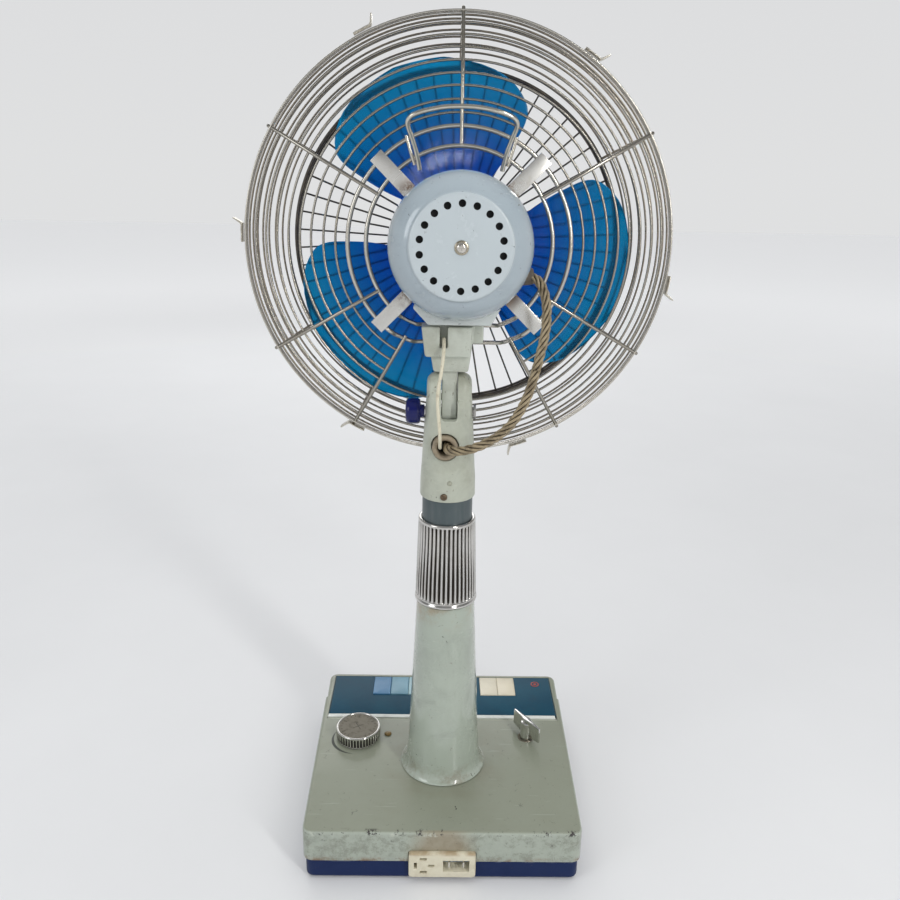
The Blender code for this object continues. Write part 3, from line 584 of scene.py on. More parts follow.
def make_leads():
    tan = Surface("lead_vinyl", (0.30, 0.24, 0.15), 0.4)
    wear = tan.step(tan.noise(140, 5, 0.7), 0.42, 0.72)
    tan.set("Base Color", tan.mix(wear, (0.33, 0.265, 0.165), (0.13, 0.10, 0.06)))
    tan.bump(tan.noise(1500, 3), 0.15, 0.0002)
    pale = Surface("cable_vinyl", (0.62, 0.58, 0.44), 0.4)
    grimy = pale.step(pale.noise(160, 5, 0.7), 0.5, 0.8)
    pale.set("Base Color", pale.mix(grimy, (0.66, 0.62, 0.48), (0.36, 0.31, 0.20)))
    pale.bump(pale.noise(1200, 3), 0.1, 0.0002)

    lead = [p + SHIFT for p in flowing(LEAD_ROUTE_M, 0.0022)]
    cut = min(range(len(lead)), key=lambda i: (lead[i] - SHIFT - Vector(LEAD_ROUTE_M[LEAD_SPLIT])).length)
    # A near-black core inside the strands: painted shade in the gaps between them.
    shade_core = plastic("lead_groove_shade", (0.03, 0.022, 0.014), 0.8, 0.2)
    turn_length = 0.036
    for name, part, bodies, ends in (
        ("motor_lead_upper", lead[: cut + 1], ("tilt_bracket", "head"), (cut, 6)),
        ("motor_lead_lower", lead[cut:], ("neck", "tilt_bracket"), (len(lead) - cut - 6, 0)),
    ):
        run = 0.0 if part[0] == lead[0] else length_of(lead[: cut + 1])
        bm = strand_mesh(part, 5, 0.0027, 0.00130, turn_length, math.tau * run / turn_length, 0.0026)
        made = cord_piece(name, bm, (tan.material, shade_core), "motor_lead")
        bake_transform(made)
    cable = [p + SHIFT for p in flowing(CABLE_ROUTE_M, 0.002)]
    tube = strand_mesh(cable, 1, 0.0, CABLE_R * MM, 1.0, 0.0)
    made = cord_piece("control_cable_run", tube, (pale.material,), "control_cable")
    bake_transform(made)


# ---------------------------------------------------------------- base


def base_outline(by=0.0):
    """The base's plan: wider in front, with a small step in its sides beside the keys."""
    step_y = -102.0
    corners = (
        (123.2, BASE_REAR_Y, 10.0), (-123.2, BASE_REAR_Y, 10.0), (-127.4, step_y + 1.2, 0.8),
        (-126.0, step_y - 0.6, 0.8), (-127.2, BASE_FRONT_Y, 10.0), (127.2, BASE_FRONT_Y, 10.0),
        (126.0, step_y - 0.6, 0.8), (127.4, step_y + 1.2, 0.8),
    )
    return Outline(corners, 9.0, 8).points(by)


def lofted(levels):
    """A closed body of the base's outline at each (inset, height)."""
    bm = bmesh.new()
    rings = [[bm.verts.new((x, y, z)) for x, y in base_outline(by)] for by, z in levels]
    for low, high in zip(rings, rings[1:]):
        join(bm, low, high)
    bm.faces.new(rings[0])
    bm.faces.new(rings[-1])
    return bm


def rounded_levels(radius, inset_by, height, up=True, steps=6):
    """Levels of a round edge that ends the side at height, curving inwards."""
    found = []
    for k in range(steps + 1):
        t = math.pi / 2 * k / steps
        sink = radius * (1 - math.sin(t))
        found.append((inset_by + radius * (1 - math.cos(t)), height - sink if up else height + sink))
    return found


PANEL_HALF, PANEL_FRONT_Y, PANEL_REAR_Y, TRIM_REAR_Y = 120.5, -139.5, -69.8, -61.5
KEY_REAR_Y = -105.0
INLET_X, INLET_Z, INLET_REAR_Y = (-29.6, 29.6), (7.7, 33.8), 101.5


def base_shell_material():
    """Dirt and painted shade on the top, dirt round the column, rust along the lower edge, and chips along
    the rear edge.
    """
    color = (0.37, 0.41, 0.35)
    rear_y = BASE_REAR_Y * MM + COLUMN_AT.y

    # The top face is painted darker: partly dirt, partly painted shade.
    def top_dirt_and_shade(s):
        return s.both(s.step(s.coordinate("Z"), 0.0525, 0.0538), s.between(s.noise(16, 6, 0.65), 0.7, 1.0))

    def around_column(s):
        patches = s.both(s.step(s.noise(40, 5), 0.35, 0.7), 0.55)
        return s.both(s.step(s.away(COLUMN_AT, "XY"), 0.075, 0.038), patches)

    def bottom_rust(s):
        low = s.step(s.coordinate("Z"), 0.0285, 0.0225)
        return s.both(low, s.step(s.noise(70, 7, 0.75), 0.44, 0.62))

    def mottled(s):
        low = s.step(s.coordinate("Z"), 0.0535, 0.050)
        return s.both(s.both(low, s.step(s.noise(75, 8, 0.8), 0.44, 0.66)), 0.75)

    def over_inlet(s):
        apart = s.away((COLUMN_AT.x, rear_y, 0.035), "XZ")
        return s.both(s.step(apart, 0.036, 0.012), s.both(s.near("Y", rear_y, 0.004), 0.55))

    def corner_wear(s):
        low = s.step(s.noise(38, 7, 0.8, distortion=1.2), 0.55, 0.62)
        return s.both(s.near("Z", 0.0510, 0.0026), s.both(low, 0.6))

    def rear_specks(s):
        spots = s.step(s.noise(150, 5, 0.7, distortion=1.0), 0.66, 0.68)
        middle = s.step(s.away((COLUMN_AT.x - 0.004, rear_y - 0.008, 0), "XY"), 0.055, 0.02)
        return s.both(spots, middle)

    def rear_edge(s):
        return s.both(s.near("Y", rear_y - 0.0012, 0.0042), s.near("Z", 0.0525, 0.0034))

    stains = (
        (top_dirt_and_shade, (0.225, 0.24, 0.18)), (around_column, (0.20, 0.195, 0.14)), (mottled, (0.20, 0.215, 0.17)),
        (bottom_rust, (0.20, 0.13, 0.07)), (over_inlet, (0.26, 0.17, 0.08)),
        (corner_wear, (0.55, 0.58, 0.50)), (rear_specks, (0.03, 0.028, 0.022)),
    )
    return enamel("base_shell_enamel", color, 0.34, 0.4, 0.35, rear_edge, stains)


def inlet_hole():
    return block((INLET_X[0] - 0.5, INLET_X[1] + 0.5), (BASE_REAR_Y - 15, BASE_REAR_Y + 6),
                 (INLET_Z[0] - 0.5, INLET_Z[1] + 0.5), 3.2, 0.05, "Y")


def make_base():
    levels = [(BASE_WALL, SHELL_BOTTOM), (0.4, SHELL_BOTTOM), (0.0, SHELL_BOTTOM + 0.5)]
    levels += rounded_levels(3.2, 0.0, BASE_TOP)
    shell = lofted(levels)
    inner = lofted([(BASE_WALL, SHELL_BOTTOM - 2), (BASE_WALL, BASE_TOP - 3.0)])
    recess = block((-PANEL_HALF - 0.35, PANEL_HALF + 0.35), (PANEL_FRONT_Y - 0.3, TRIM_REAR_Y + 0.3),
                   (BASE_TOP - 2.9, BASE_TOP + 3), 0.8, 0.05)
    shell = carved(shell, inner, recess, inlet_hole())
    piece("base_shell_painted", shell, base_shell_material(), "base", BASE, ["base_shell"])

    navy = (0.006, 0.019, 0.082)

    def top_edge(s):
        return s.both(s.near("Z", 0.0212, 0.002), s.step(s.noise(60, 6, 0.7), 0.5, 0.6))

    levels = rounded_levels(3.6, 1.9, TRAY_BOTTOM, up=False)[::-1]
    levels += [(1.9, TRAY_TOP - 0.4), (2.3, TRAY_TOP), (4.4, TRAY_TOP)]
    tray = lofted(levels)
    hollow = lofted([(4.4, TRAY_BOTTOM + 2.5), (4.4, TRAY_TOP + 2)])
    tray = carved(tray, hollow, inlet_hole())
    paint = enamel("tray_enamel", navy, 0.42, 0.2, 0.1, None, [(top_edge, (0.09, 0.11, 0.17))], 0.0, 0.2)
    piece("base_tray_painted", tray, paint, "base", BASE, ["base_tray"])
    make_feet()
    make_panel()
    make_keys()
    make_timer()
    make_lever()
    make_inlet()


def make_feet():
    rubber = plastic("foot_rubber", (0.028, 0.028, 0.028), 0.65, 0.5, 500, 0.3)
    for i in range(1, 5):
        low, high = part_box(f"foot_{i}")
        at = BASE.inverted() @ ((low + high) / 2)
        top = high.z / MM
        profile = eased(((0, 0.4), (4.2, 0.4), (4.6, 0), (7, 0), (7, top), (0, top)), 0.4, 3, closed=False)
        piece(f"foot_{i}_rubber", lathe(profile, 40, place=(at.x, at.y, 0)), rubber, "base", BASE,
              [f"foot_{i}"])


def make_panel():
    s = Surface("panel_navy", (0.004, 0.045, 0.095), 0.5, Specular_IOR_Level=0.25)
    cloudy = s.step(s.noise(25, 6, 0.65), 0.35, 0.75)
    tone = s.mix(cloudy, (0.001, 0.050, 0.092), (0.002, 0.066, 0.112))
    dusty = s.step(s.noise(90, 6, 0.75), 0.56, 0.78)
    half = PANEL_HALF * MM
    edge = s.math("MAXIMUM", s.near("X", COLUMN_AT.x + half, 0.002), s.near("X", COLUMN_AT.x - half, 0.002))
    tone = s.mix(s.both(s.math("MAXIMUM", dusty, edge), 0.45), tone, (0.05, 0.07, 0.075))
    s.set("Base Color", tone)
    s.set("Roughness", s.between(dusty, 0.45, 0.65))
    s.bump(s.noise(1200, 3), 0.05, 0.0002)
    plate = block((-PANEL_HALF, PANEL_HALF), (PANEL_FRONT_Y, PANEL_REAR_Y), (BASE_TOP - 2.5, BASE_TOP - 0.1),
                  0.6, 0.35)
    to_base = BASE.inverted()
    groups = [[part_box(f"key_blue_{i}") for i in range(1, 6)], [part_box(f"key_cream_{i}") for i in (1, 2)]]
    cuts = []
    for group in groups:
        left = min((to_base @ low).x for low, _ in group)
        right = max((to_base @ high).x for _, high in group)
        cuts.append(block((left - 0.35, right + 0.35), (PANEL_FRONT_Y - 4, KEY_REAR_Y + 0.35),
                          (BASE_TOP - 6, BASE_TOP + 4), 0.3, 0.05))
    piece("control_panel_plate", carved(plate, *cuts), s.material, "base", BASE,
          ["control_panel"])

    white = plastic("trim_white", (0.72, 0.74, 0.70), 0.35, 0.35, 500)
    strip = block((-PANEL_HALF + 1.6, PANEL_HALF), (PANEL_REAR_Y + 0.4, PANEL_REAR_Y + 5.4),
                  (BASE_TOP - 2.5, BASE_TOP + 0.4), 0.3, 0.3)
    ledge = block((-PANEL_HALF, PANEL_HALF), (PANEL_REAR_Y + 5.6, TRIM_REAR_Y),
                  (BASE_TOP - 2.5, BASE_TOP - 0.7), 0.3, 0.2)
    piece("panel_trim_strip", strip, white, "base", BASE, ["panel_trim"])
    piece("panel_trim_ledge", ledge, enamel("ledge_enamel", (0.40, 0.42, 0.34), 0.4, 0.8), "base", BASE)
    red = plastic("mark_red", (0.34, 0.045, 0.03), 0.35, 0.3)
    ring = lathe(eased(((3.4, 53.95), (4.6, 53.95), (4.6, 54.12), (3.4, 54.12)), 0.05, 2), 48, True,
                 place=(-103.5, -127.0, 0))
    lathe(((0, 54.14), (1.6, 54.14), (1.7, 53.9), (0, 53.9)), 32, place=(-103.5, -127.0, 0), into=ring)
    piece("panel_mark", ring, red, "base", BASE)


KEY_COLORS = {
    "key_blue_1": (0.075, 0.215, 0.385), "key_blue_2": (0.15, 0.31, 0.40), "key_blue_3": (0.30, 0.46, 0.50),
    "key_blue_4": (0.42, 0.55, 0.55), "key_blue_5": (0.50, 0.60, 0.57), "key_cream_1": (0.68, 0.62, 0.48),
    "key_cream_2": (0.68, 0.63, 0.50),
}


def make_keys():
    """Piano keys with a slightly hollow top and a rounded front edge."""
    for name, color in KEY_COLORS.items():
        low, high = (BASE.inverted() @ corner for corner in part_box(name))
        half, deep = (high.x - low.x) / 2, high.y - low.y
        bm = slab(Outline(rectangle((-half, half), (0, deep)), 0.5, 3), low.z, high.z, 0.7)
        long = [e for e in bm.edges if e.calc_length() > 12]
        bmesh.ops.subdivide_edges(bm, edges=long, cuts=6, use_grid_fill=True)
        for v in bm.verts:
            if v.co.z > high.z - 0.3:
                v.co.z -= 0.45 * math.cos(v.co.x / half * math.pi / 2) * math.sin(v.co.y / deep * math.pi)
            if v.co.y < deep * 0.3:
                v.co.z -= (1 - v.co.y / (deep * 0.3)) ** 2 * 1.2 * (v.co.z > high.z - 2)
        bm.transform(Matrix.Translation(((low.x + high.x) / 2, low.y, 0)))
        dirt = 0.2 if "cream" in name else 0.12
        piece(f"{name}_cap", bm, plastic(f"{name}_plastic", color, 0.3, dirt, 700, 0.05), name, BASE,
              [name])


def make_timer():
    """A dial knob: knurled chrome side, bright rim, and a brushed face with a scale."""
    at = BASE.inverted() @ Vector(JOINTS["timer_turn"]["pos_m"])
    centre = (at.x, at.y, 0)
    low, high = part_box("timer_knob")
    top, radius = high.z / MM, (high.x - low.x) / MM / 2
    skirt = BASE_TOP + 0.8
    side = [(3.0, skirt), (radius - 1.6, skirt), (radius - 0.9, skirt + 0.8)]
    side += [(radius - 0.3 + 0.3 * k / 6, skirt + 1.8 + (top - 2.6 - skirt - 1.8) * k / 6) for k in range(7)]
    rim = ((0.4, 1.9), (0.2, 1.2), (0.3, 0.5), (0.9, 0.1), (1.5, 0), (2.0, 0.3), (2.2, 1.1))
    side += [*((radius - inwards, top - down) for inwards, down in rim), (0, top - 1.1)]
    flutes = (44, 1.3, skirt + 1.7, top - 2.5)
    pivot = Vector(JOINTS["timer_turn"]["pos_m"])
    heights = (skirt + 1.7) * MM, (top - 2.5) * MM
    chrome = knurled("knob_chrome", (0.70, 0.69, 0.66), pivot, (radius * MM, radius * MM), heights, 0.0013)
    body = lathe(side, 44 * 8, flutes=flutes, place=centre)
    piece("timer_knob_body", body, chrome, "timer_knob", BASE, ["timer_knob"], 50)

    s = Surface("knob_face", (0.13, 0.12, 0.09), 0.5, 0.2)
    apart = s.away(pivot, "XY")
    rings = s.add("ShaderNodeTexNoise", {"Vector": s.add("ShaderNodeCombineXYZ", {"X": apart}).outputs[0],
        "Scale": 2600.0, "Detail": 2.0}).outputs[0]
    grime = s.step(s.noise(170, 6, 0.75), 0.45, 0.75)
    s.set("Base Color", s.mix(grime, (0.165, 0.15, 0.115), (0.07, 0.06, 0.04)))
    s.bump(rings, 0.12, 0.0002)
    face_z = top - 1.05
    face = lathe(((0, face_z + 0.25), (radius - 2.6, face_z + 0.25), (radius - 2.35, face_z), (0, face_z)),
                 72, place=centre)
    piece("timer_knob_face", face, s.material, "timer_knob", BASE)
    ink = plastic("scale_ink", (0.035, 0.03, 0.026), 0.6, 0.2)
    marks = None
    raised = (face_z + 0.2, face_z + 0.34)
    outer = radius - 4.2
    strokes = [(math.tau * i / 24, 0.28, (outer - (2.0 if i % 4 else 3.8), outer)) for i in range(2, 23)]
    strokes += [(turn, 0.22, (-5.5, 5.5)) for turn in (0.5, 0.5 + math.pi / 2)]
    for turn, half, span in strokes:
        mark = block((-half, half), span, raised, 0.1, 0.05)
        mark.transform(Matrix.Translation(centre) @ Matrix.Rotation(turn, 4, "Z"))
        marks = gathered(mark, marks)
    piece("timer_knob_scale", marks, ink, "timer_knob", BASE)

    inner = radius + 3.4
    crescent = [(inner, math.radians(-52 + 104 * k / 24)) for k in range(25)]
    crescent += [(inner + 2.8 * math.cos(math.pi * (k / 24 - 0.5)), crescent[k][1]) for k in range(23, 0, -1)]
    shape = [(r * math.cos(a), r * math.sin(a)) for r, a in crescent]
    printed = slab(Outline(shape), BASE_TOP - 0.03, BASE_TOP + 0.05, 0.02)
    turn = Matrix.Rotation(math.radians(28), 4, "Z")
    printed.transform(Matrix.Translation((at.x - 1.0, at.y + 1.0, 0)) @ turn)
    grey_ink = plastic("mark_ink", (0.07, 0.075, 0.065), 0.5, 0.4, 300)
    piece("timer_mark", printed, grey_ink, "base", BASE)

    low, high = (BASE.inverted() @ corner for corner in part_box("index_dot"))
    centre = ((low.x + high.x) / 2, (low.y + high.y) / 2, 0)
    dot = [(r, BASE_TOP + up) for r, up in ((0, 0.2), (3.7, 0.2), (3.5, 1.2), (2.4, 1.9), (0, 2.3))]
    dot = eased(dot, 0.5, 4, closed=False)
    amber = plastic("amber", (0.30, 0.20, 0.07), 0.22, 0.5, 700, 0.1, Transmission_Weight=0.25)
    piece("index_dot_lens", lathe(dot, 40, place=centre), amber, "base", BASE, ["index_dot"])


def make_lever():
    """A wing lever: a round hub with a thin tapered blade through it."""
    at = BASE.inverted() @ Vector(JOINTS["lever_turn"]["pos_m"])
    low, top = BASE_TOP + 4.2, BASE_TOP + 22.0
    reach, angle = 20.0, math.radians(123.4)
    rim = ((-reach, -0.9, 0.4), (-6, -1.9, 3), (0, -3.6, 4), (6, -1.9, 3), (reach, -0.9, 0.4))
    plan = Outline((*rim, *((-x, -y, rounding) for x, y, rounding in rim)), 1.0)
    blade = slab(plan, low, top, 0.55)
    for v in blade.verts:
        if v.co.z < low + 3:
            v.co.z += max(0.0, abs(v.co.x) - 6) * 0.10
    blade.transform(Matrix.Rotation(angle, 4, "Z"))
    hub = eased(((0, BASE_TOP + 0.8), (6.4, BASE_TOP + 0.8), (5.8, top - 3.2), (0, top - 2.6)), 0.8, 3,
                closed=False)
    lathe(hub, 48, into=blade)
    blade.transform(Matrix.Translation((at.x, at.y, 0)))
    piece("oscillation_lever_wing", blade, plated("lever_chrome", (0.72, 0.72, 0.70), 0.12, 0.25, 0.3),
          "oscillation_lever", BASE, ["oscillation_lever"])
    collar = eased(((6.6, BASE_TOP), (8.6, BASE_TOP), (8.1, BASE_TOP + 0.7), (6.6, BASE_TOP + 0.7)), 0.2, 2)
    collar = lathe(collar, 40, True, place=(at.x, at.y, 0))
    piece("lever_collar", collar, plated("collar_steel", (0.26, 0.24, 0.2), 0.4, 0.6, 0.7), "base", BASE)


def make_inlet():
    """An ivory socket block with four slots in a diamond, and a window with two blade pins."""
    ivory = Surface("ivory_plastic", (0.66, 0.61, 0.46), 0.36)
    soft = ivory.step(ivory.noise(80, 6, 0.7), 0.42, 0.75)
    tone = ivory.mix(ivory.both(soft, 0.4), (0.68, 0.64, 0.50), (0.42, 0.35, 0.22))
    top = ivory.step(ivory.coordinate("Z"), 0.0305, 0.0335)
    high = ivory.both(top, ivory.step(ivory.noise(60, 4), 0.3, 0.6))
    ivory.set("Base Color", ivory.mix(ivory.both(high, 0.7), tone, (0.30, 0.19, 0.08)))
    ivory.bump(ivory.noise(900, 3), 0.06, 0.0002)
    rear = INLET_REAR_Y
    body = slab(Outline(rectangle(INLET_X, INLET_Z), 3.2, 6), BASE_REAR_Y - 12, rear, 1.1, "Y")
    window = Outline(rectangle((-24.1, -0.8), (14.2, 26.6)), 0.8, 3)
    window = slab(window, BASE_REAR_Y - 8.8, rear + 2, 0.1, "Y")
    slots = (((22.1, 24.8), (17.5, 24.1)), ((13.5, 19.8), (26.6, 29.4)), ((13.5, 19.8), (12.3, 15.1)),
             ((6.8, 12.6), (19.2, 22.0)))
    cuts = [slab(Outline(rectangle(x, z), 0.3, 2), rear - 7, rear + 2, 0.1, "Y") for x, z in slots]
    piece("inlet_block_body", carved(body, window, *cuts), ivory.material, "base", BASE,
          ["inlet_block"])
    inner = block((-23.6, -1.3), (BASE_REAR_Y - 8.6, BASE_REAR_Y - 7.6), (14.7, 26.1), 0.8, 0.2, "Y")
    piece("inlet_window_floor", inner, plastic("inlet_floor", (0.42, 0.50, 0.60), 0.35, 0.4), "base", BASE)
    brass = plated("slot_brass", (0.50, 0.38, 0.16), 0.3, 0.5, 0.4)
    leaves = None
    for (x0, x1), (z0, z1) in slots:
        span = (x0 + 0.5, x1 - 0.5), (rear - 6.9, rear - 5.4), (z0 + 0.4, z1 - 0.4)
        leaves = block(*span, 0.2, 0.2, "Y", leaves)
    piece("inlet_contacts", leaves, brass, "base", BASE)
    pins = plated("pin_nickel", (0.66, 0.64, 0.58), 0.2, 0.4, 0.4)
    for i in (1, 2):
        low, high = (BASE.inverted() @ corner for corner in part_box(f"inlet_pin_{i}"))
        pin = block((low.x, high.x), (low.y, high.y), (low.z, high.z), 0.25, 0.3, "Y")
        piece(f"inlet_pin_{i}_blade", pin, pins, "base", BASE, [f"inlet_pin_{i}"])


# ---------------------------------------------------------------- column


def make_column():
    """The tapered column with its flared foot, the fluted clamp, and the dark inner pole."""
    low, high = 54.3, 232.0

    def radius(z):
        share = (z - low) / (high - low)
        return 35.3 - 9.0 * share**0.93 + 5.2 * math.exp(-(z - low) / 5.0)

    profile = [(39.4, low), (40.4, low + 0.6)]
    levels = [low + 1.2 + (k / 40) * (k / 40) * (high - low - 1.2) for k in range(41)]
    profile += [(min(40.4, radius(z)), z) for z in levels]
    profile += [(25.0, high + 0.4), (25.0, 262.0), (22.3, 262.0), (22.3, low)]
    color = (0.385, 0.435, 0.37)

    def under_clamp(s):
        near = s.step(s.coordinate("Z"), 0.205, 0.233)
        return s.both(near, s.step(s.noise(34, 6, 0.7), 0.42, 0.72))

    def lower(s):
        near = s.step(s.coordinate("Z"), 0.075, 0.056)
        return s.both(near, s.step(s.noise(50, 5, 0.7), 0.42, 0.7))

    stains = ((under_clamp, (0.30, 0.24, 0.15)), (lower, (0.24, 0.23, 0.17)))
    paint = enamel("column_enamel", color, 0.24, 0.42, 0.1, None, stains, 0.9)
    piece("column_painted", lathe(profile, 112, True), paint, "base", BASE, ["column"])

    box_low, box_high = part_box("clamp_ring")
    bottom, top = box_low.z / MM, box_high.z / MM
    rim = [(25.4, bottom), (27.3, bottom), (27.9, bottom + 0.5), (28.1, bottom + 1.4), (27.9, bottom + 2.6),
           (26.6, bottom + 3.2), (26.4, bottom + 4.2), (26.6, bottom + 5.0), (27.4, bottom + 5.6)]
    grip = [(27.5 - 2.3 * k / 14, bottom + 6.4 + (top - bottom - 10.4) * k / 14) for k in range(15)]
    crown = [(25.2, top - 3.2), (25.4, top - 2.4), (25.2, top - 1.2), (24.5, top - 0.3), (23.6, top),
             (22.6, top - 0.4), (22.5, 263.0), (25.35, 263.0)]
    flutes = (40, 1.5, bottom + 6.3, top - 3.9)
    heights = (bottom + 6.3) * MM, (top - 3.9) * MM
    fluted = knurled("clamp_chrome", (0.62, 0.61, 0.59), COLUMN_AT, (0.0275, 0.0252), heights, 0.0015)
    piece("clamp_ring_fluted", lathe([*rim, *grip, *crown], 40 * 8, True, flutes), fluted, "clamp_ring", BASE,
          ["clamp_ring"], 60)

    s = Surface("pole_paint", (0.085, 0.105, 0.11), 0.34, 0.35)
    rubbed = s.step(s.noise(60, 5, 0.6, (1, 1, 0.12)), 0.45, 0.75)
    s.set("Base Color", s.mix(rubbed, (0.075, 0.098, 0.105), (0.14, 0.155, 0.155)))
    s.bump(s.noise(500, 3, 0.5, (1, 1, 0.1)), 0.1, 0.0002)
    pole = eased(((19.6, 80), (22.0, 80), (22.0, 352), (19.6, 352)), 0.5, 2)
    piece("inner_pole_tube", lathe(pole, 80, True), s.material, "neck", BASE, ["inner_pole"])


# ---------------------------------------------------------------- neck and tilt

NECK_BOTTOM, TILT_Z, EAR_TOP_AXIS = 333.5, 408.0, 427.0
GROMMET_AT = (3.0, 382.4)


def round_tab(radius, flat_z, axis_z, steps=18):
    sign = 1 if axis_z > flat_z else -1
    turn = [math.pi * i / steps for i in range(steps + 1)]
    arc = [(radius * math.cos(a), axis_z + sign * radius * math.sin(a)) for a in turn]
    return [(radius, flat_z), *arc, (-radius, flat_z)]


def casting_material(name, color=(0.46, 0.485, 0.405)):
    def scuffs(s):
        return s.both(s.step(s.noise(75, 7, 0.8, (1, 1, 0.35), 1.5), 0.62, 0.66), 0.75)

    def greasy(s):
        return s.both(s.step(s.noise(26, 6, 0.65), 0.45, 0.72), 0.5)

    stains = ((greasy, (0.26, 0.255, 0.19)), (scuffs, (0.11, 0.085, 0.05)))
    return enamel(name, color, 0.36, 0.35, 0.15, None, stains, 0.15)


def make_neck():
    body = [(0, NECK_BOTTOM), (23.7, NECK_BOTTOM), (24.1, NECK_BOTTOM + 0.8), (23.8, NECK_BOTTOM + 16),
            (22.9, 362), (21.6, 385), (20.6, 402), (19.3, 421), (0, 421)]
    ears = slab(Outline(round_tab(15.0, 396, EAR_TOP_AXIS)), -18.8, 18.8, 8.0, "X", steps=7)
    whole = carved(lathe(body, 80), ears, operation="UNION")
    cuts = (
        lathe(((0, NECK_BOTTOM - 3), (22.3, NECK_BOTTOM - 3), (22.3, 353), (0, 353)), 64),
        lathe(((0, 351), (13.5, 351), (13.5, 391), (0, 391)), 40),
        block((-30, 30), (-40, -8.8), (399, 450), 1.0, 0.1),
        block((-6.8, 6.8), (-30, 13.6), (396, 452), 0.5, 0.1),
        block((-6.8, 6.8), (10, 30), (405, 452), 3.0, 0.1, "Y"),
        lathe(((0, 5), (11.6, 5), (11.6, 32), (0, 32)), 48, axis="Y",
              place=(GROMMET_AT[0], 0, GROMMET_AT[1])),
        lathe(((0, -32), (4.3, -32), (4.3, 32), (0, 32)), 32, axis="X", place=(0, 0, TILT_Z)),
    )
    neck = cast(carved(whole, *cuts), 0.62, 4)
    piece("neck_casting", neck, casting_material("neck_enamel"), "neck", BASE, ["neck"], 60)

    x, z = GROMMET_AT
    ring = eased(((6.4, 12), (10.6, 12), (10.6, 21.4), (11.0, 22.6), (10.2, 24.2), (8.6, 24.6), (7.2, 23.9),
                  (6.4, 22.2)), 0.9)
    rubber = plastic("grommet_rubber", (0.30, 0.245, 0.17), 0.6, 0.6, 600, 0.25)
    piece("grommet_ring", lathe(ring, 64, True, axis="Y", place=(x, 0, z)), rubber, "neck", BASE,
          ["grommet"])

    dark = plated("old_screw", (0.14, 0.10, 0.07), 0.45, 0.6, 0.8)
    low, high = (BASE.inverted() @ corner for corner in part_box("neck_screw"))
    at = ((low.x + high.x) / 2, 0, (low.z + high.z) / 2)
    head = eased(((0, 23.6), (3.0, 23.6), (3.0, 24.7), (2.2, 25.4), (0, 25.6)), 0.4, 3, closed=False)
    head = lathe(head, 40, axis="Y", place=at)
    slot = block((-0.45, 0.45), (24.9, 27), (-4, 4), 0.1, 0.05, "Y")
    slot.transform(Matrix.Translation(at) @ Matrix.Rotation(0.7, 4, "Y"))
    piece("neck_screw_head", carved(head, slot), dark, "neck", BASE, ["neck_screw"])
    rivet = eased(((0, 22.8), (2.3, 22.8), (2.2, 24.0), (1.2, 24.6), (0, 24.7)), 0.5, 3, closed=False)
    rivet = lathe(rivet, 32, axis="Y", place=(-1.3, 0, 351.2))
    piece("neck_rivet", rivet, casting_material("rivet_enamel", (0.36, 0.37, 0.29)), "neck", BASE)


def make_tilt():
    """The tilt bracket: a tongue between the neck's ears, and the slotted block that the head swings on."""
    tongue = slab(Outline(round_tab(11.0, 46, 0)), -6.4, 6.4, 0.8, "X")
    waist = ((-15, 36, 2), (13.5, 36, 2), (16.0, 50, 3), (17, 74.4, 1), (-19.5, 74.4, 1), (-17, 50, 3))
    slotted = ((-16.2, 49, 2.2), (20.6, 49, 2.2), (23.6, 73.6, 1), (-17.4, 73.6, 1))
    parts = (
        slab(Outline(waist, 2), -17, 14, 1.0, "Y"),
        slab(Outline(slotted, 1.5), -6, 19.5, 1.2, "Y"),
        slab(Outline(rectangle((-27.3, -14), (58.5, 74.2)), 3), -17, 6, 1.5, "Y"),
    )
    whole = carved(tongue, *parts, operation="UNION")
    cuts = (
        block((2.3, 8.7), (7, 24), (56.5, 80), 0.4, 0.1, "Y"),
        lathe(((0, 60), (5.3, 60), (5.3, 80), (0, 80)), 32),
        lathe(((0, -32), (4.3, -32), (4.3, 32), (0, 32)), 32, axis="X"),
    )
    bracket = cast(carved(whole, *cuts), 0.55, 3)
    piece("tilt_bracket_casting", bracket, casting_material("bracket_enamel", (0.49, 0.52, 0.455)),
          "tilt_bracket", TILT,
          ["tilt_bracket"], 60)

    at = (0, 0, 0)
    knob = ((0, 20.8), (5.5, 20.8, 0.3), (5.5, 24.0, 0.8), (9.6, 24.2, 1.2), (11.0, 26.2, 1.5),
            (11.0, 33.5, 1.5), (9.4, 36.4, 1.8), (4, 37.0, 2), (0, 36.6))
    knob = eased(knob, 1.0, 5, closed=False)
    blue = plastic("knob_blue", (0.003, 0.006, 0.085), 0.16, 0.15, 300, 0.03, Specular_IOR_Level=0.4)
    piece("tilt_knob_cap", lathe(knob, 72, axis="X", place=at), blue, "tilt_knob",
          local_frame(JOINTS["head_tilt"]["pos_m"]), ["tilt_knob"])


# ---------------------------------------------------------------- head


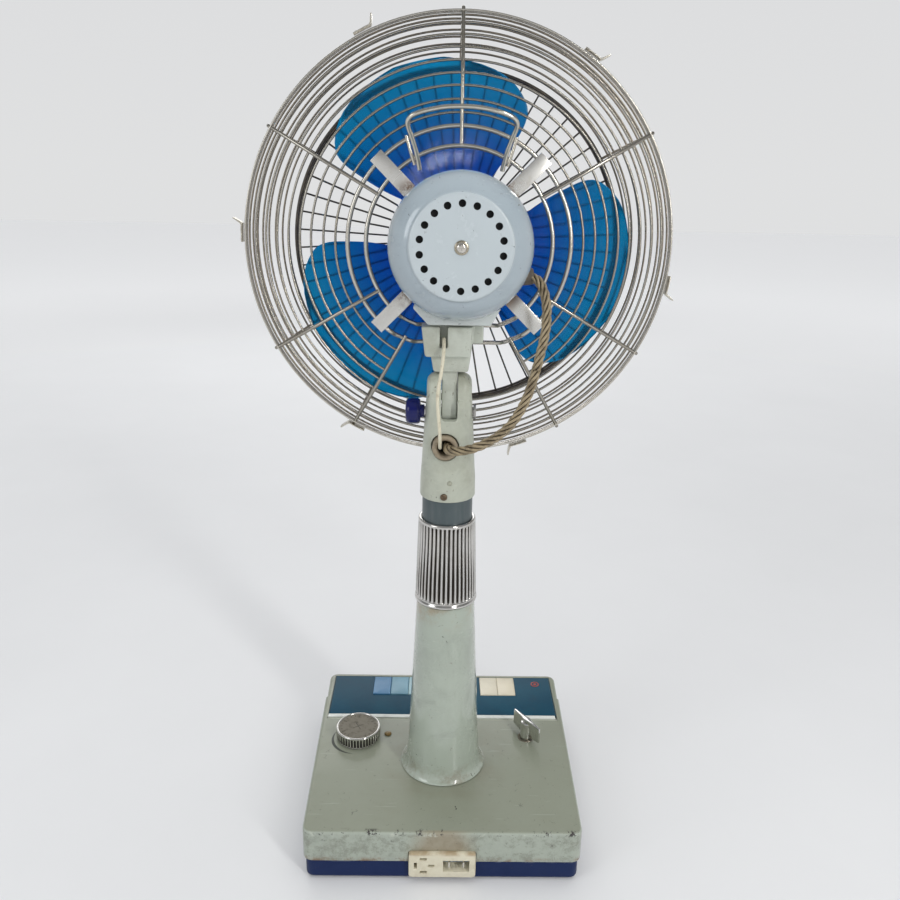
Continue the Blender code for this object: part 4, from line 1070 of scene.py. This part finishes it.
def make_housing():
    grey = (0.31, 0.37, 0.42)

    def dusty(s):
        return s.both(s.step(s.noise(22, 6, 0.65), 0.42, 0.72), 0.45)

    gloss = enamel("housing_enamel", grey, 0.16, 0.25, 0.15, None, ((dusty, (0.27, 0.30, 0.31)),), 0.8)
    wall = 2.5
    outer = [(6.4, -17.3), (43, -17.3, 3), (52.5, -12.6, 4), (MOTOR_R, -3.5, 5), (MOTOR_R, SEAM_Y - 0.6, 0.5),
             (MOTOR_R - 0.8, SEAM_Y, 0.3)]
    inner = [(MOTOR_R - wall, SEAM_Y, 0.3), (MOTOR_R - wall, -2.8, 4), (50.6, -10.6, 3), (41.8, -14.8, 2),
             (6.4, -14.8)]
    shell = lathe(eased([*outer, *inner], 1.0, 6, closed=False), 144, True, axis="Y")
    on_head("motor_housing_shell", shell, gloss, ["motor_housing"])

    foot_z = -61.3
    stain = (dusty, (0.33, 0.34, 0.31))
    pale = enamel("pedestal_enamel", (0.52, 0.56, 0.55), 0.22, 0.35, 0.2, None, [stain], 0.5)
    outline = Outline(((-25.4, foot_z, 0.8), (24.6, foot_z, 0.8), (37.5, -47.5, 2.5), (33, -44, 2),
                       (-29, -44, 2), (-33, -47.5, 2.5)), 1.0)
    pedestal = slab(outline, -16.5, 26.5, 1.4, "Y")
    cut = lathe(((0, -40), (MOTOR_R - 0.6, -40), (MOTOR_R - 0.6, 60), (0, 60)), 144, axis="Y")
    swing = lathe(((0, foot_z - 3), (5.4, foot_z - 3), (5.4, -40), (0, -40)), 40, place=(6.5, 0, 0))
    on_head("motor_pedestal", carved(pedestal, cut, swing), pale)
    lip = [about(236 + 68 * k / 24, MOTOR_R + 0.7, 26.2) for k in range(25)]
    wirework("pedestal_lip", [(lip, 0.8, False)], pale)
    rib = block((-0.9, 0.9), (26.0, 28.4), (-60.0, -56.2), 0.6, 0.3, "Y")
    rib.transform(Matrix.Translation((13.0, 0, 1.5)))
    on_head("pedestal_rib", rib, pale)
    gland = eased(((4.3, -6), (6.6, -6), (6.8, 2.5), (5.8, 4.5), (4.4, 4.5)), 0.6, 3)
    start = MOTOR.inverted() @ (Vector(LEAD_ROUTE_M[0]) + SHIFT)
    gland = lathe(gland, 40, True, axis="X")
    gland.transform(Matrix.Translation(start) @ Matrix.Rotation(math.pi + 0.15, 4, "Y"))
    rubber = plastic("gland_rubber", (0.10, 0.08, 0.06), 0.6, 0.4, 500, 0.2)
    on_head("lead_gland", gland, rubber)


VENT_COUNT, VENT_CIRCLE_R, VENT_R = 18, 31.8, 2.8


def make_cover():
    """The domed rear cover with a ring of round vents and a screw in its middle."""
    face = COVER_FACE_Y
    outer = [(54.4, SEAM_Y + 0.3), (MOTOR_R - 0.7, SEAM_Y + 0.3, 0.3), (MOTOR_R - 0.1, SEAM_Y + 1.2, 0.5),
             (56.2, 37, 6),
             (52.3, 46.5, 7), (44.8, 53.4, 5), (40.6, 55.4, 1.0), (39.4, 57.5, 0.9), (38.2, face - 0.2, 0.8),
             (12, face - 0.15, 3), (9.5, face, 2), (2.6, face, 0.2)]
    inner = [(2.6, face - 2, 0.2), (37.4, face - 2.1, 2), (43.6, 51.4, 5), (50.2, 45.2, 6), (53.9, 36.6, 6)]
    shell = lathe(eased([*outer, *inner], 1.0, 6), 160, True, axis="Y")
    holes = []
    for i in range(VENT_COUNT):
        place = about(90 + i * 360 / VENT_COUNT, VENT_CIRCLE_R)
        hole = ((0, face - 5), (VENT_R, face - 5), (VENT_R, face + 2), (0, face + 2))
        holes.append(lathe(hole, 24, axis="Y", place=place))
    drill = holes[0]
    for hole in holes[1:]:
        gathered(hole, drill)

    centre = MOTOR @ Vector((0, COVER_FACE_Y, 0))

    # Painted light: the flat face within the vents' ring is painted lighter than the curved band round it.
    def rings(s):
        return s.both(s.step(s.away(centre, "XYZ"), 0.041, 0.0385), 0.9)

    def marks(s):
        return s.both(s.step(s.noise(48, 7, 0.8, distortion=1.0), 0.63, 0.68), 0.35)

    pale = enamel("cover_enamel", (0.34, 0.40, 0.44), 0.17, 0.25, 0.12, None,
                  ((rings, (0.47, 0.525, 0.55)), (marks, (0.28, 0.29, 0.27))), 0.7)
    on_head("motor_cover_shell", carved(shell, drill), pale, ["motor_cover"])

    # A near-black disc behind the vents: painted shade for the dark inside of the motor.
    dark = plastic("vent_painted_shade", (0.012, 0.012, 0.012), 0.8, 0.1)
    shade_disc = ((0, face - 5.0), (41, face - 5.0), (41, face - 4.2), (0, face - 4.2))
    shade_disc = lathe(eased(shade_disc, 0.2, 2, closed=False), 64, axis="Y")
    on_head("vent_shade_disc", shade_disc, dark)

    chrome = plated("screw_chrome", (0.66, 0.63, 0.58), 0.16, 0.4, 0.5)
    steel = plated("washer_steel", (0.42, 0.38, 0.30), 0.25, 0.5, 0.6)
    washer = [(r, face + out) for r, out in ((2.4, 0.1), (5.5, 0.1), (5.4, 0.7), (4.4, 1.1), (2.4, 1.1))]
    on_head("cover_washer", lathe(eased(washer, 0.3, 3), 56, True, axis="Y"), steel)
    head = ((0, 50), (2.2, 50, 0.2), (2.2, face + 1.0, 0.1), (3.9, face + 1.0, 0.4), (3.7, face + 2.0, 1.0),
            (2.2, face + 2.9, 1.0), (0, face + 3.0))
    head = lathe(eased(head, 0.4, 4, closed=False), 56, axis="Y")
    cross = block((-0.45, 0.45), (face + 1.7, face + 4), (-2.1, 2.1), 0.2, 0.05, "Y")
    other = block((-2.1, 2.1), (face + 1.7, face + 4), (-0.45, 0.45), 0.2, 0.05, "Y")
    on_head("cover_screw_head", carved(head, cross, other), chrome, ["cover_screw"])


def blade_half_width(radius):
    """Half the angle that a blade spans at this radius, in degrees, on a smooth curve."""
    known = ((14, 30), (20, 27), (40, 34), (70, 42), (105, 43.5), (125, 42), (136, 37), (146, 27), (153, 8))
    for i, ((r0, w0), (r1, w1)) in enumerate(zip(known, known[1:])):
        if radius <= r1:
            t = (radius - r0) / (r1 - r0)
            before = known[max(i - 1, 0)]
            after = known[min(i + 2, len(known) - 1)]
            m0 = (w1 - before[1]) / (r1 - before[0]) * (r1 - r0)
            m1 = (after[1] - w0) / (after[0] - r0) * (r1 - r0)
            return ((2 * t**3 - 3 * t * t + 1) * w0 + (t**3 - 2 * t * t + t) * m0
                    + (3 * t * t - 2 * t**3) * w1 + (t**3 - t * t) * m1)
    return known[-1][1]


BLADE_R, BLADE_Y, BLADE_TILT = 152.9, -72.0, 17.0


def blade_mesh(middle, into=None):
    """One broad moulded blade, cambered, thin at its rim and thick at its root."""
    bm = bmesh.new()
    across, along = 28, 30
    pitch = 75 * math.tan(math.radians(BLADE_TILT))
    faces = []
    for side in (-1, 1):
        rows = []
        for k in range(along + 1):
            radius = 18 + (BLADE_R - 18) * math.sin(math.pi / 2 * k / along) ** 0.9
            half = blade_half_width(radius)
            row = []
            for i in range(across + 1):
                share = math.sin(math.pi / 2 * (2 * i / across - 1))
                off = half * share
                thick = (0.75 + 0.7 * (1 - radius / BLADE_R)) * math.sqrt(max(0.0, 1 - share**4)) + 0.16
                twist = math.radians(off) * pitch
                camber = 3.2 * (share**2 - 0.5) * (radius / BLADE_R)
                row.append(bm.verts.new(about(middle + off, radius, BLADE_Y + twist + camber + side * thick)))
            rows.append(row)
        faces.append(rows)
    for rows in faces:
        for a, b in zip(rows, rows[1:]):
            for i in range(across):
                bm.faces.new((a[i], a[i + 1], b[i + 1], b[i]))
    low, high = faces
    rim = [(r, 0) for r in range(along + 1)] + [(along, i) for i in range(1, across + 1)]
    rim += [(r, across) for r in reversed(range(along))] + [(0, i) for i in range(across - 1, 0, -1)]
    for (r0, i0), (r1, i1) in zip(rim, rim[1:] + rim[:1]):
        bm.faces.new((low[r0][i0], low[r1][i1], high[r1][i1], high[r0][i0]))
    return gathered(bm, into)


def make_rotor():
    centre = MOTOR @ Vector((0, BLADE_Y, 0))
    s = Surface("blade_blue", (0.0, 0.25, 0.55), 0.12, Transmission_Weight=0.8, IOR=1.25)
    apart = s.away(centre, "XZ")
    near = s.step(apart, 0.060, 0.150)
    tone = s.mix(near, (0.001, 0.062, 0.40), (0.001, 0.235, 0.47))
    milky = s.step(s.noise(20, 5, 0.6), 0.35, 0.75)
    s.set("Base Color", s.mix(s.both(milky, 0.25), tone, (0.0, 0.11, 0.36)))
    s.set("Roughness", s.between(s.noise(120, 5, 0.7), 0.08, 0.24))
    s.bump(s.noise(30, 3), 0.04, 0.001)
    blades = None
    for middle in (104, 224, 344):
        blades = blade_mesh(middle, blades)
    hub = eased(((4.3, -101), (24.4, -101, 1.2), (26, -98, 1.5), (26, -72, 2), (21, -66, 2), (15, -66, 1),
                 (14, -90, 1), (4.3, -90)), 1.0, 4)
    lathe(hub, 80, True, axis="Y", into=blades)
    piece("fan_blades_moulding", blades, s.material, "rotor", MOTOR, ["fan_blades"], 50)
    cap = eased(((4.3, -101.4), (15.4, -101.4, 0.6), (16, -103, 1), (16, -107, 2), (9, -116, 5), (0, -117.5)),
                1.0, 5, closed=False)
    nut = lathe([*cap, (0, -112), (4.3, -112)], 72, True, axis="Y")
    blue = plastic("spinner_blue", (0.02, 0.05, 0.22), 0.2, 0.2, 500, 0.05, Coat_Weight=0.4)
    piece("spinner_nut", nut, blue, "rotor", MOTOR, ["spinner"])


# ---------------------------------------------------------------- guards

THIN_RADII = (103.0, 113.0, 123.5, 133.0, 143.0, 153.0, 163.0, 172.5)
RIB_ANGLES = (30, 90, 150, 210, 240, 300, 330)
FRONT_SIDE = ((181.0, -56.0), (180.0, -66.0), (178.2, -76.0), (175.6, -86.5), (172.2, -97.0), (168.2, -107.0),
              (163.6, -117.0), (159.2, -125.5))
FRONT_RIM = (152.5, -131.0)
FRONT_FACE = (FRONT_RIM, (140.0, -135.0), (115.0, -140.0), (90.0, -143.0), (60.0, -146.0), (24.0, -148.0))
RADIAL_WIRES = 56


def rear_depth(radius):
    share = max(0.0, (radius - THICK_RINGS[1]) / (BAND_R - THICK_RINGS[1]))
    return RING_Y + (BAND_Y - RING_Y) * share**2


def ring_points(radius, y, count=120, floor=None):
    """A ring of wire; with a floor, its bottom runs flat and forward, past the pedestal."""
    found = []
    for i in range(count):
        at = about(360 * i / count, radius, y)
        if floor:
            past = min(1.0, max(0.0, (-at.z - floor + 12) / 14))
            at.y -= 20 * past * past * (3 - 2 * past)
            at.z = max(at.z, -floor)
        found.append(at)
    return found


def make_rear_guard():
    # The thin rings and ribs get a darker nickel than the thick rings: painted shade for the dark
    # surroundings they reflect.
    nickel = plated("guard_nickel_painted_shade", (0.36, 0.34, 0.30), 0.2, 0.35, 0.35)
    bright = plated("guard_bright", (0.60, 0.575, 0.52), 0.18, 0.35, 0.3)
    routes = []
    for radius, floor in zip(THICK_RINGS, (69, 84)):
        routes.append((ring_points(radius, RING_Y, floor=floor), 1.9, True))
    wirework("rear_guard_rings_thick", routes, bright, level=4)
    thin = [(ring_points(radius, rear_depth(radius), 144), 1.05, True) for radius in THIN_RADII[3:]]
    for radius in THIN_RADII[:3]:
        beside_neck = [about(300 + 2.5 * i, radius, rear_depth(radius)) for i in range(121)]
        thin.append((beside_neck, 1.05, False))
    wirework("rear_guard_rings", thin, nickel)
    ribs = []
    for angle in RIB_ANGLES:
        low = 88.0 if angle in (240, 300) else 77.6
        radii = [low + (BAND_R - low) * k / 18 for k in range(19)]
        route = [about(angle, r, rear_depth(r) + 2.2) for r in radii]
        route += [about(angle, BAND_R + 1.8, BAND_Y + 1.6), about(angle, BAND_R + 2.4, BAND_Y - 0.8),
                  about(angle, BAND_R + 2.0, BAND_Y - 3.4)]
        ribs.append((flowing(route, 3.0), 1.55, False))
    wirework("rear_guard_ribs", ribs, nickel, level=3)
    section = eased(((181.0, BAND_Y - 4.6), (182.1, BAND_Y - 4.6), (182.6, BAND_Y - 3.8), (182.2, BAND_Y),
                     (182.6, BAND_Y + 3.8), (182.1, BAND_Y + 4.6), (181.0, BAND_Y + 4.6), (181.3, BAND_Y)),
                    0.35, 3)
    on_head("rear_guard_band", lathe(section, 200, True, axis="Y"), bright, ["rear_guard"])


def make_arms():
    """Four flat strips from the motor's front out over the two thick rings."""
    steel = plated("arm_steel", (0.64, 0.63, 0.60), 0.3, 0.3, 0.45, brushed=(1, 8, 1))
    centre = MOTOR @ Vector((0, RING_Y, 0))
    rusty = Surface("arm_steel_worn", (0.64, 0.63, 0.60), 0.3, 0.9)
    apart = rusty.away(centre, "XZ")
    by_motor = rusty.both(rusty.step(apart, 0.074, 0.058), rusty.step(rusty.noise(60, 7, 0.8), 0.40, 0.56))
    cloud = rusty.step(rusty.noise(50, 6, 0.7), 0.45, 0.75)
    tone = rusty.mix(rusty.both(cloud, 0.35), (0.66, 0.65, 0.62), (0.38, 0.33, 0.25))
    rusty.set("Base Color", rusty.mix(by_motor, tone, (0.14, 0.065, 0.025)))
    rusty.set("Metallic", rusty.between(by_motor, 0.95, 0.2))
    rusty.set("Roughness", rusty.between(by_motor, 0.27, 0.75))
    rusty.bump(rusty.noise(400, 4, 0.6, (1, 6, 1)), 0.2, 0.0002)
    plate = lathe(eased(((22, -19.6), (50, -19.6), (50, -17.6), (22, -17.6)), 0.3, 2), 96, True, axis="Y")
    on_head("guard_arm_plate", plate, steel, ["guard_arms"])
    for i, angle in enumerate((45, 135, 225, 315), 1):
        strip = ((-6.2, 0.0), (6.2, 0.0), (6.2, -3.4), (4.9, -3.4), (4.9, -1.2),
                 (-4.9, -1.2), (-4.9, -3.4), (-6.2, -3.4))
        bm = slab(Outline(strip, 0.35, 2), 44, 97.5, 0.3, "Z")
        bm.transform(Matrix.Translation((0, -16.2, 0)))
        bm.transform(Matrix.Rotation(math.radians(angle - 90), 4, "Y"))
        on_head(f"guard_arm_{i}", bm, rusty.material)


def make_handle():
    """The carry handle: a bent wire whose feet are welded to the inner thick ring."""
    bright = plated("handle_bright", (0.60, 0.57, 0.50), 0.16, 0.4, 0.3)
    half = ((33.5, -18.6, 58.5), (34.2, -16.8, 63), (36.5, -11.4, 73), (39.5, -6.2, 82),
            (42.2, -1.2, 89), (42.4, 2.2, 93), (39.5, 4.9, 96.4), (34, 6.3, 98.7),
            (27, 7.3, 100.6), (14, 8.2, 102.9), (0, 8.5, 103.6))
    route = [*half, *((-x, y, z) for x, y, z in reversed(half[:-1]))]
    wirework("carry_handle_wire", [(flowing(route, 2.0), 1.9, False)], bright, replaces=["carry_handle"],
             level=5)
    rods = []
    for side in (1, -1):
        rod = ((side * 37.5, -20.6, 62.0), (side * 40.2, -20.6, 70), (side * 44.5, -20.8, 84.5))
        rods.append((rod, 1.5, False))
    wirework("handle_rods", rods, bright, level=4)


def make_front_guard():
    # The front wires and rims are painted near-black: painted shade for chrome in shadow against the bright
    # background.
    dark = plated("front_wire", (0.10, 0.092, 0.085), 0.3, 0.4, 0.5)
    pale = plated("front_side_wire", (0.27, 0.24, 0.20), 0.26, 0.5, 0.5)
    sides = [(ring_points(r, y, 144), 0.95, True) for r, y in FRONT_SIDE]
    for angle in RIB_ANGLES:
        route = [about(angle, BAND_R - 2.2, BAND_Y - 3), *(about(angle, r - 1.4, y) for r, y in FRONT_SIDE),
                 about(angle, *FRONT_RIM)]
        sides.append((flowing(route, 5.0), 1.2, False))
    wirework("front_guard_side", sides, pale)
    rim = [(ring_points(152.5, -130.0, 160), 1.8, True), (ring_points(150.2, -133.0, 160), 1.2, True),
           (ring_points(24.0, -148.0, 72), 1.8, True), (ring_points(60.0, -144.6, 96), 1.2, True)]
    wirework("front_guard_rims", rim, dark, level=3)
    wires = []
    for i in range(RADIAL_WIRES):
        angle = 360 * (i + 0.5) / RADIAL_WIRES
        start = about(angle, FRONT_RIM[0] - 0.6, FRONT_RIM[1] + 2.2)
        route = [start, *(about(angle, r, y) for r, y in FRONT_FACE)]
        wires.append((flowing(route, 12.0), 0.9, False))
    wirework("front_guard_wires", wires, dark, ["front_guard"], 1)
    badge = ((0, -149.8), (22, -149.8, 0.4), (22, -152.2, 1), (17.5, -154.1, 2), (0, -154.6))
    badge = eased(badge, 0.5, 4, closed=False)
    s = Surface("badge_blue", (0.015, 0.06, 0.20), 0.2, 0.4, Coat_Weight=0.6)
    grain = s.noise(90, 5, 0.6)
    s.set("Base Color", s.mix(grain, (0.010, 0.045, 0.17), (0.03, 0.09, 0.25)))
    s.bump(s.noise(700, 2), 0.06, 0.0002)
    on_head("guard_badge_disc", lathe(badge, 80, axis="Y"), s.material, ["guard_badge"])
    ring = ((19.4, -151.2), (21.8, -151.2), (21.8, -153.1), (20.6, -153.6), (19.4, -153.4))
    ring = lathe(eased(ring, 0.3, 3), 80, True, axis="Y")
    on_head("guard_badge_ring", ring, plated("badge_chrome", (0.7, 0.69, 0.66), 0.14, 0.2, 0.2))


def make_clips():
    """Spring clips on the band: a plate with a turned-up finger tab, hinged on a rivet."""
    steel = plated("clip_steel", (0.58, 0.55, 0.48), 0.26, 0.5, 0.6)
    for i, angle in enumerate((57, 118, 180, 243, 290, 352), 1):
        name = f"clip_{i}"
        plate = Outline(((1.6, -0.5, 0.3), (-9.6, -0.5, 2), (-14.0, -1.0, 0.8), (-15.6, 0.6, 1),
                         (-18.8, 6.6, 0.3), (-17.9, 7.1, 0.3), (-14.4, 1.6, 1), (-13.0, 0.2, 1),
                         (-9.6, 0.5, 2), (1.6, 0.5, 0.3)), 0.3, 3)
        bm = slab(plate, -4.5, 4.5, 0.2, "Y")
        rivet = eased(((0, -0.4), (1.9, -0.4, 0.2), (1.8, 1.1, 0.5), (0, 1.5)), 0.3, 3, closed=False)
        lathe(rivet, 24, place=(-0.6, 0, 0.2), into=bm)
        pivot = about(angle, BAND_R + 3.0, BAND_Y)
        bm.transform(Matrix.Translation(pivot) @ Matrix.Rotation(math.radians(angle - 90), 4, "Y"))
        piece(f"{name}_spring", bm, steel, name, MOTOR, [name])


# ---------------------------------------------------------------- what stays as it is


def finish_inner_parts():
    """The pieces inside the base and the motor keep their shapes and get their real materials."""
    iron = plastic("cast_iron", (0.10, 0.095, 0.09), 0.7, 0.5, 250, 0.5)
    bakelite = plastic("bakelite", (0.16, 0.085, 0.04), 0.4, 0.3, 300, 0.1)
    steel = plated("inner_steel", (0.45, 0.44, 0.43), 0.3, 0.3, 0.3)
    bronze = plated("inner_bronze", (0.45, 0.33, 0.15), 0.3, 0.4, 0.1)
    winding = plated("winding", (0.42, 0.19, 0.08), 0.35, 0.4, 0.2, brushed=(1, 12, 1))
    kept = {
        "ballast_plate": iron, "key_switch": bakelite, "lever_switch": bakelite, "timer_body": steel,
        "stator": winding, "bearing_front": bronze, "bearing_rear": bronze, "gearbox": steel,
        "swing_crank": bronze,
        "motor_shaft": steel, "rotor": steel, "tilt_bolt": steel, "pivot_pin": steel,
    }
    for name, material in kept.items():
        mesh = frame["nodes"][name].data
        mesh.materials.clear()
        mesh.materials.append(material)


# ---------------------------------------------------------------- studio


def area_light(name, place, target, size, power, color=(1, 1, 1)):
    data = bpy.data.lights.new(name, "AREA")
    data.shape = "RECTANGLE"
    data.size, data.size_y = size
    data.energy = power
    data.color = color
    light = bpy.data.objects.new(name, data)
    bpy.context.collection.objects.link(light)
    light.location = place
    light.rotation_euler = (Vector(target) - Vector(place)).to_track_quat("-Z", "Y").to_euler()
    light.visible_camera = False
    return light


def make_world():
    """Pale round the horizon, and darker above, so that bright metal has something dark to show."""
    world = bpy.data.worlds.new("studio")
    bpy.context.scene.world = world
    world.use_nodes = True
    tree = world.node_tree
    height = tree.nodes.new("ShaderNodeSeparateXYZ")
    ramp = tree.nodes.new("ShaderNodeValToRGB")
    tree.links.new(tree.nodes.new("ShaderNodeTexCoord").outputs["Generated"], height.inputs[0])
    tree.links.new(height.outputs["Z"], ramp.inputs[0])
    tree.links.new(ramp.outputs[0], tree.nodes["Background"].inputs[0])
    tree.nodes["Background"].inputs[1].default_value = 1.0
    stops = (
        (0.0, (0.74, 0.745, 0.75)), (0.20, (0.72, 0.725, 0.735)),
        (0.45, (0.22, 0.225, 0.23)), (1.0, (0.40, 0.405, 0.41)),
    )
    points = ramp.color_ramp.elements
    points.new(0.2)
    points.new(0.42)
    for point, (place, color) in zip(points, stops):
        point.position = place
        point.color = (*color, 1)


def make_studio():
    make_world()
    bm = bmesh.new()
    bmesh.ops.create_grid(bm, x_segments=8, y_segments=8, size=8.0)
    mesh = bpy.data.meshes.new("floor")
    bm.to_mesh(mesh)
    bm.free()
    s = Surface("floor_pale", (0.78, 0.785, 0.79), 0.55)
    s.set("Base Color", s.mix(s.noise(3, 5, 0.6), (0.63, 0.635, 0.645), (0.69, 0.695, 0.705)))
    s.set("Emission Color", (0.72, 0.725, 0.735))
    s.set("Emission Strength", s.between(s.step(s.away((0, 0, 0), "XY"), 0.5, 4.0), 0.12, 0.62))
    mesh.materials.append(s.material)
    floor = bpy.data.objects.new("floor", mesh)
    bpy.context.collection.objects.link(floor)
    area_light("key", (-0.95, 1.35, 1.2), (0, 0, 0.35), (0.14, 1.1), 13, (1.0, 0.99, 0.97))
    area_light("fill", (1.6, 1.2, 1.3), (0, 0, 0.3), (0.8, 1.0), 8, (0.96, 0.98, 1.0))
    area_light("top", (0.0, 0.0, 3.4), (0, 0, 0.2), (3.6, 3.6), 62).visible_glossy = False
    area_light("front", (0.3, -2.2, 1.4), (0, 0, 0.4), (1.4, 1.0), 9)
    view = bpy.context.scene.view_settings
    view.view_transform = "Standard"
    view.exposure = 0.0


# ---------------------------------------------------------------- assembly

make_camera()
make_leads()
make_base()
make_column()
make_neck()
make_tilt()
make_housing()
make_cover()
make_rotor()
make_rear_guard()
make_arms()
make_handle()
make_front_guard()
make_clips()
finish_inner_parts()
make_studio()
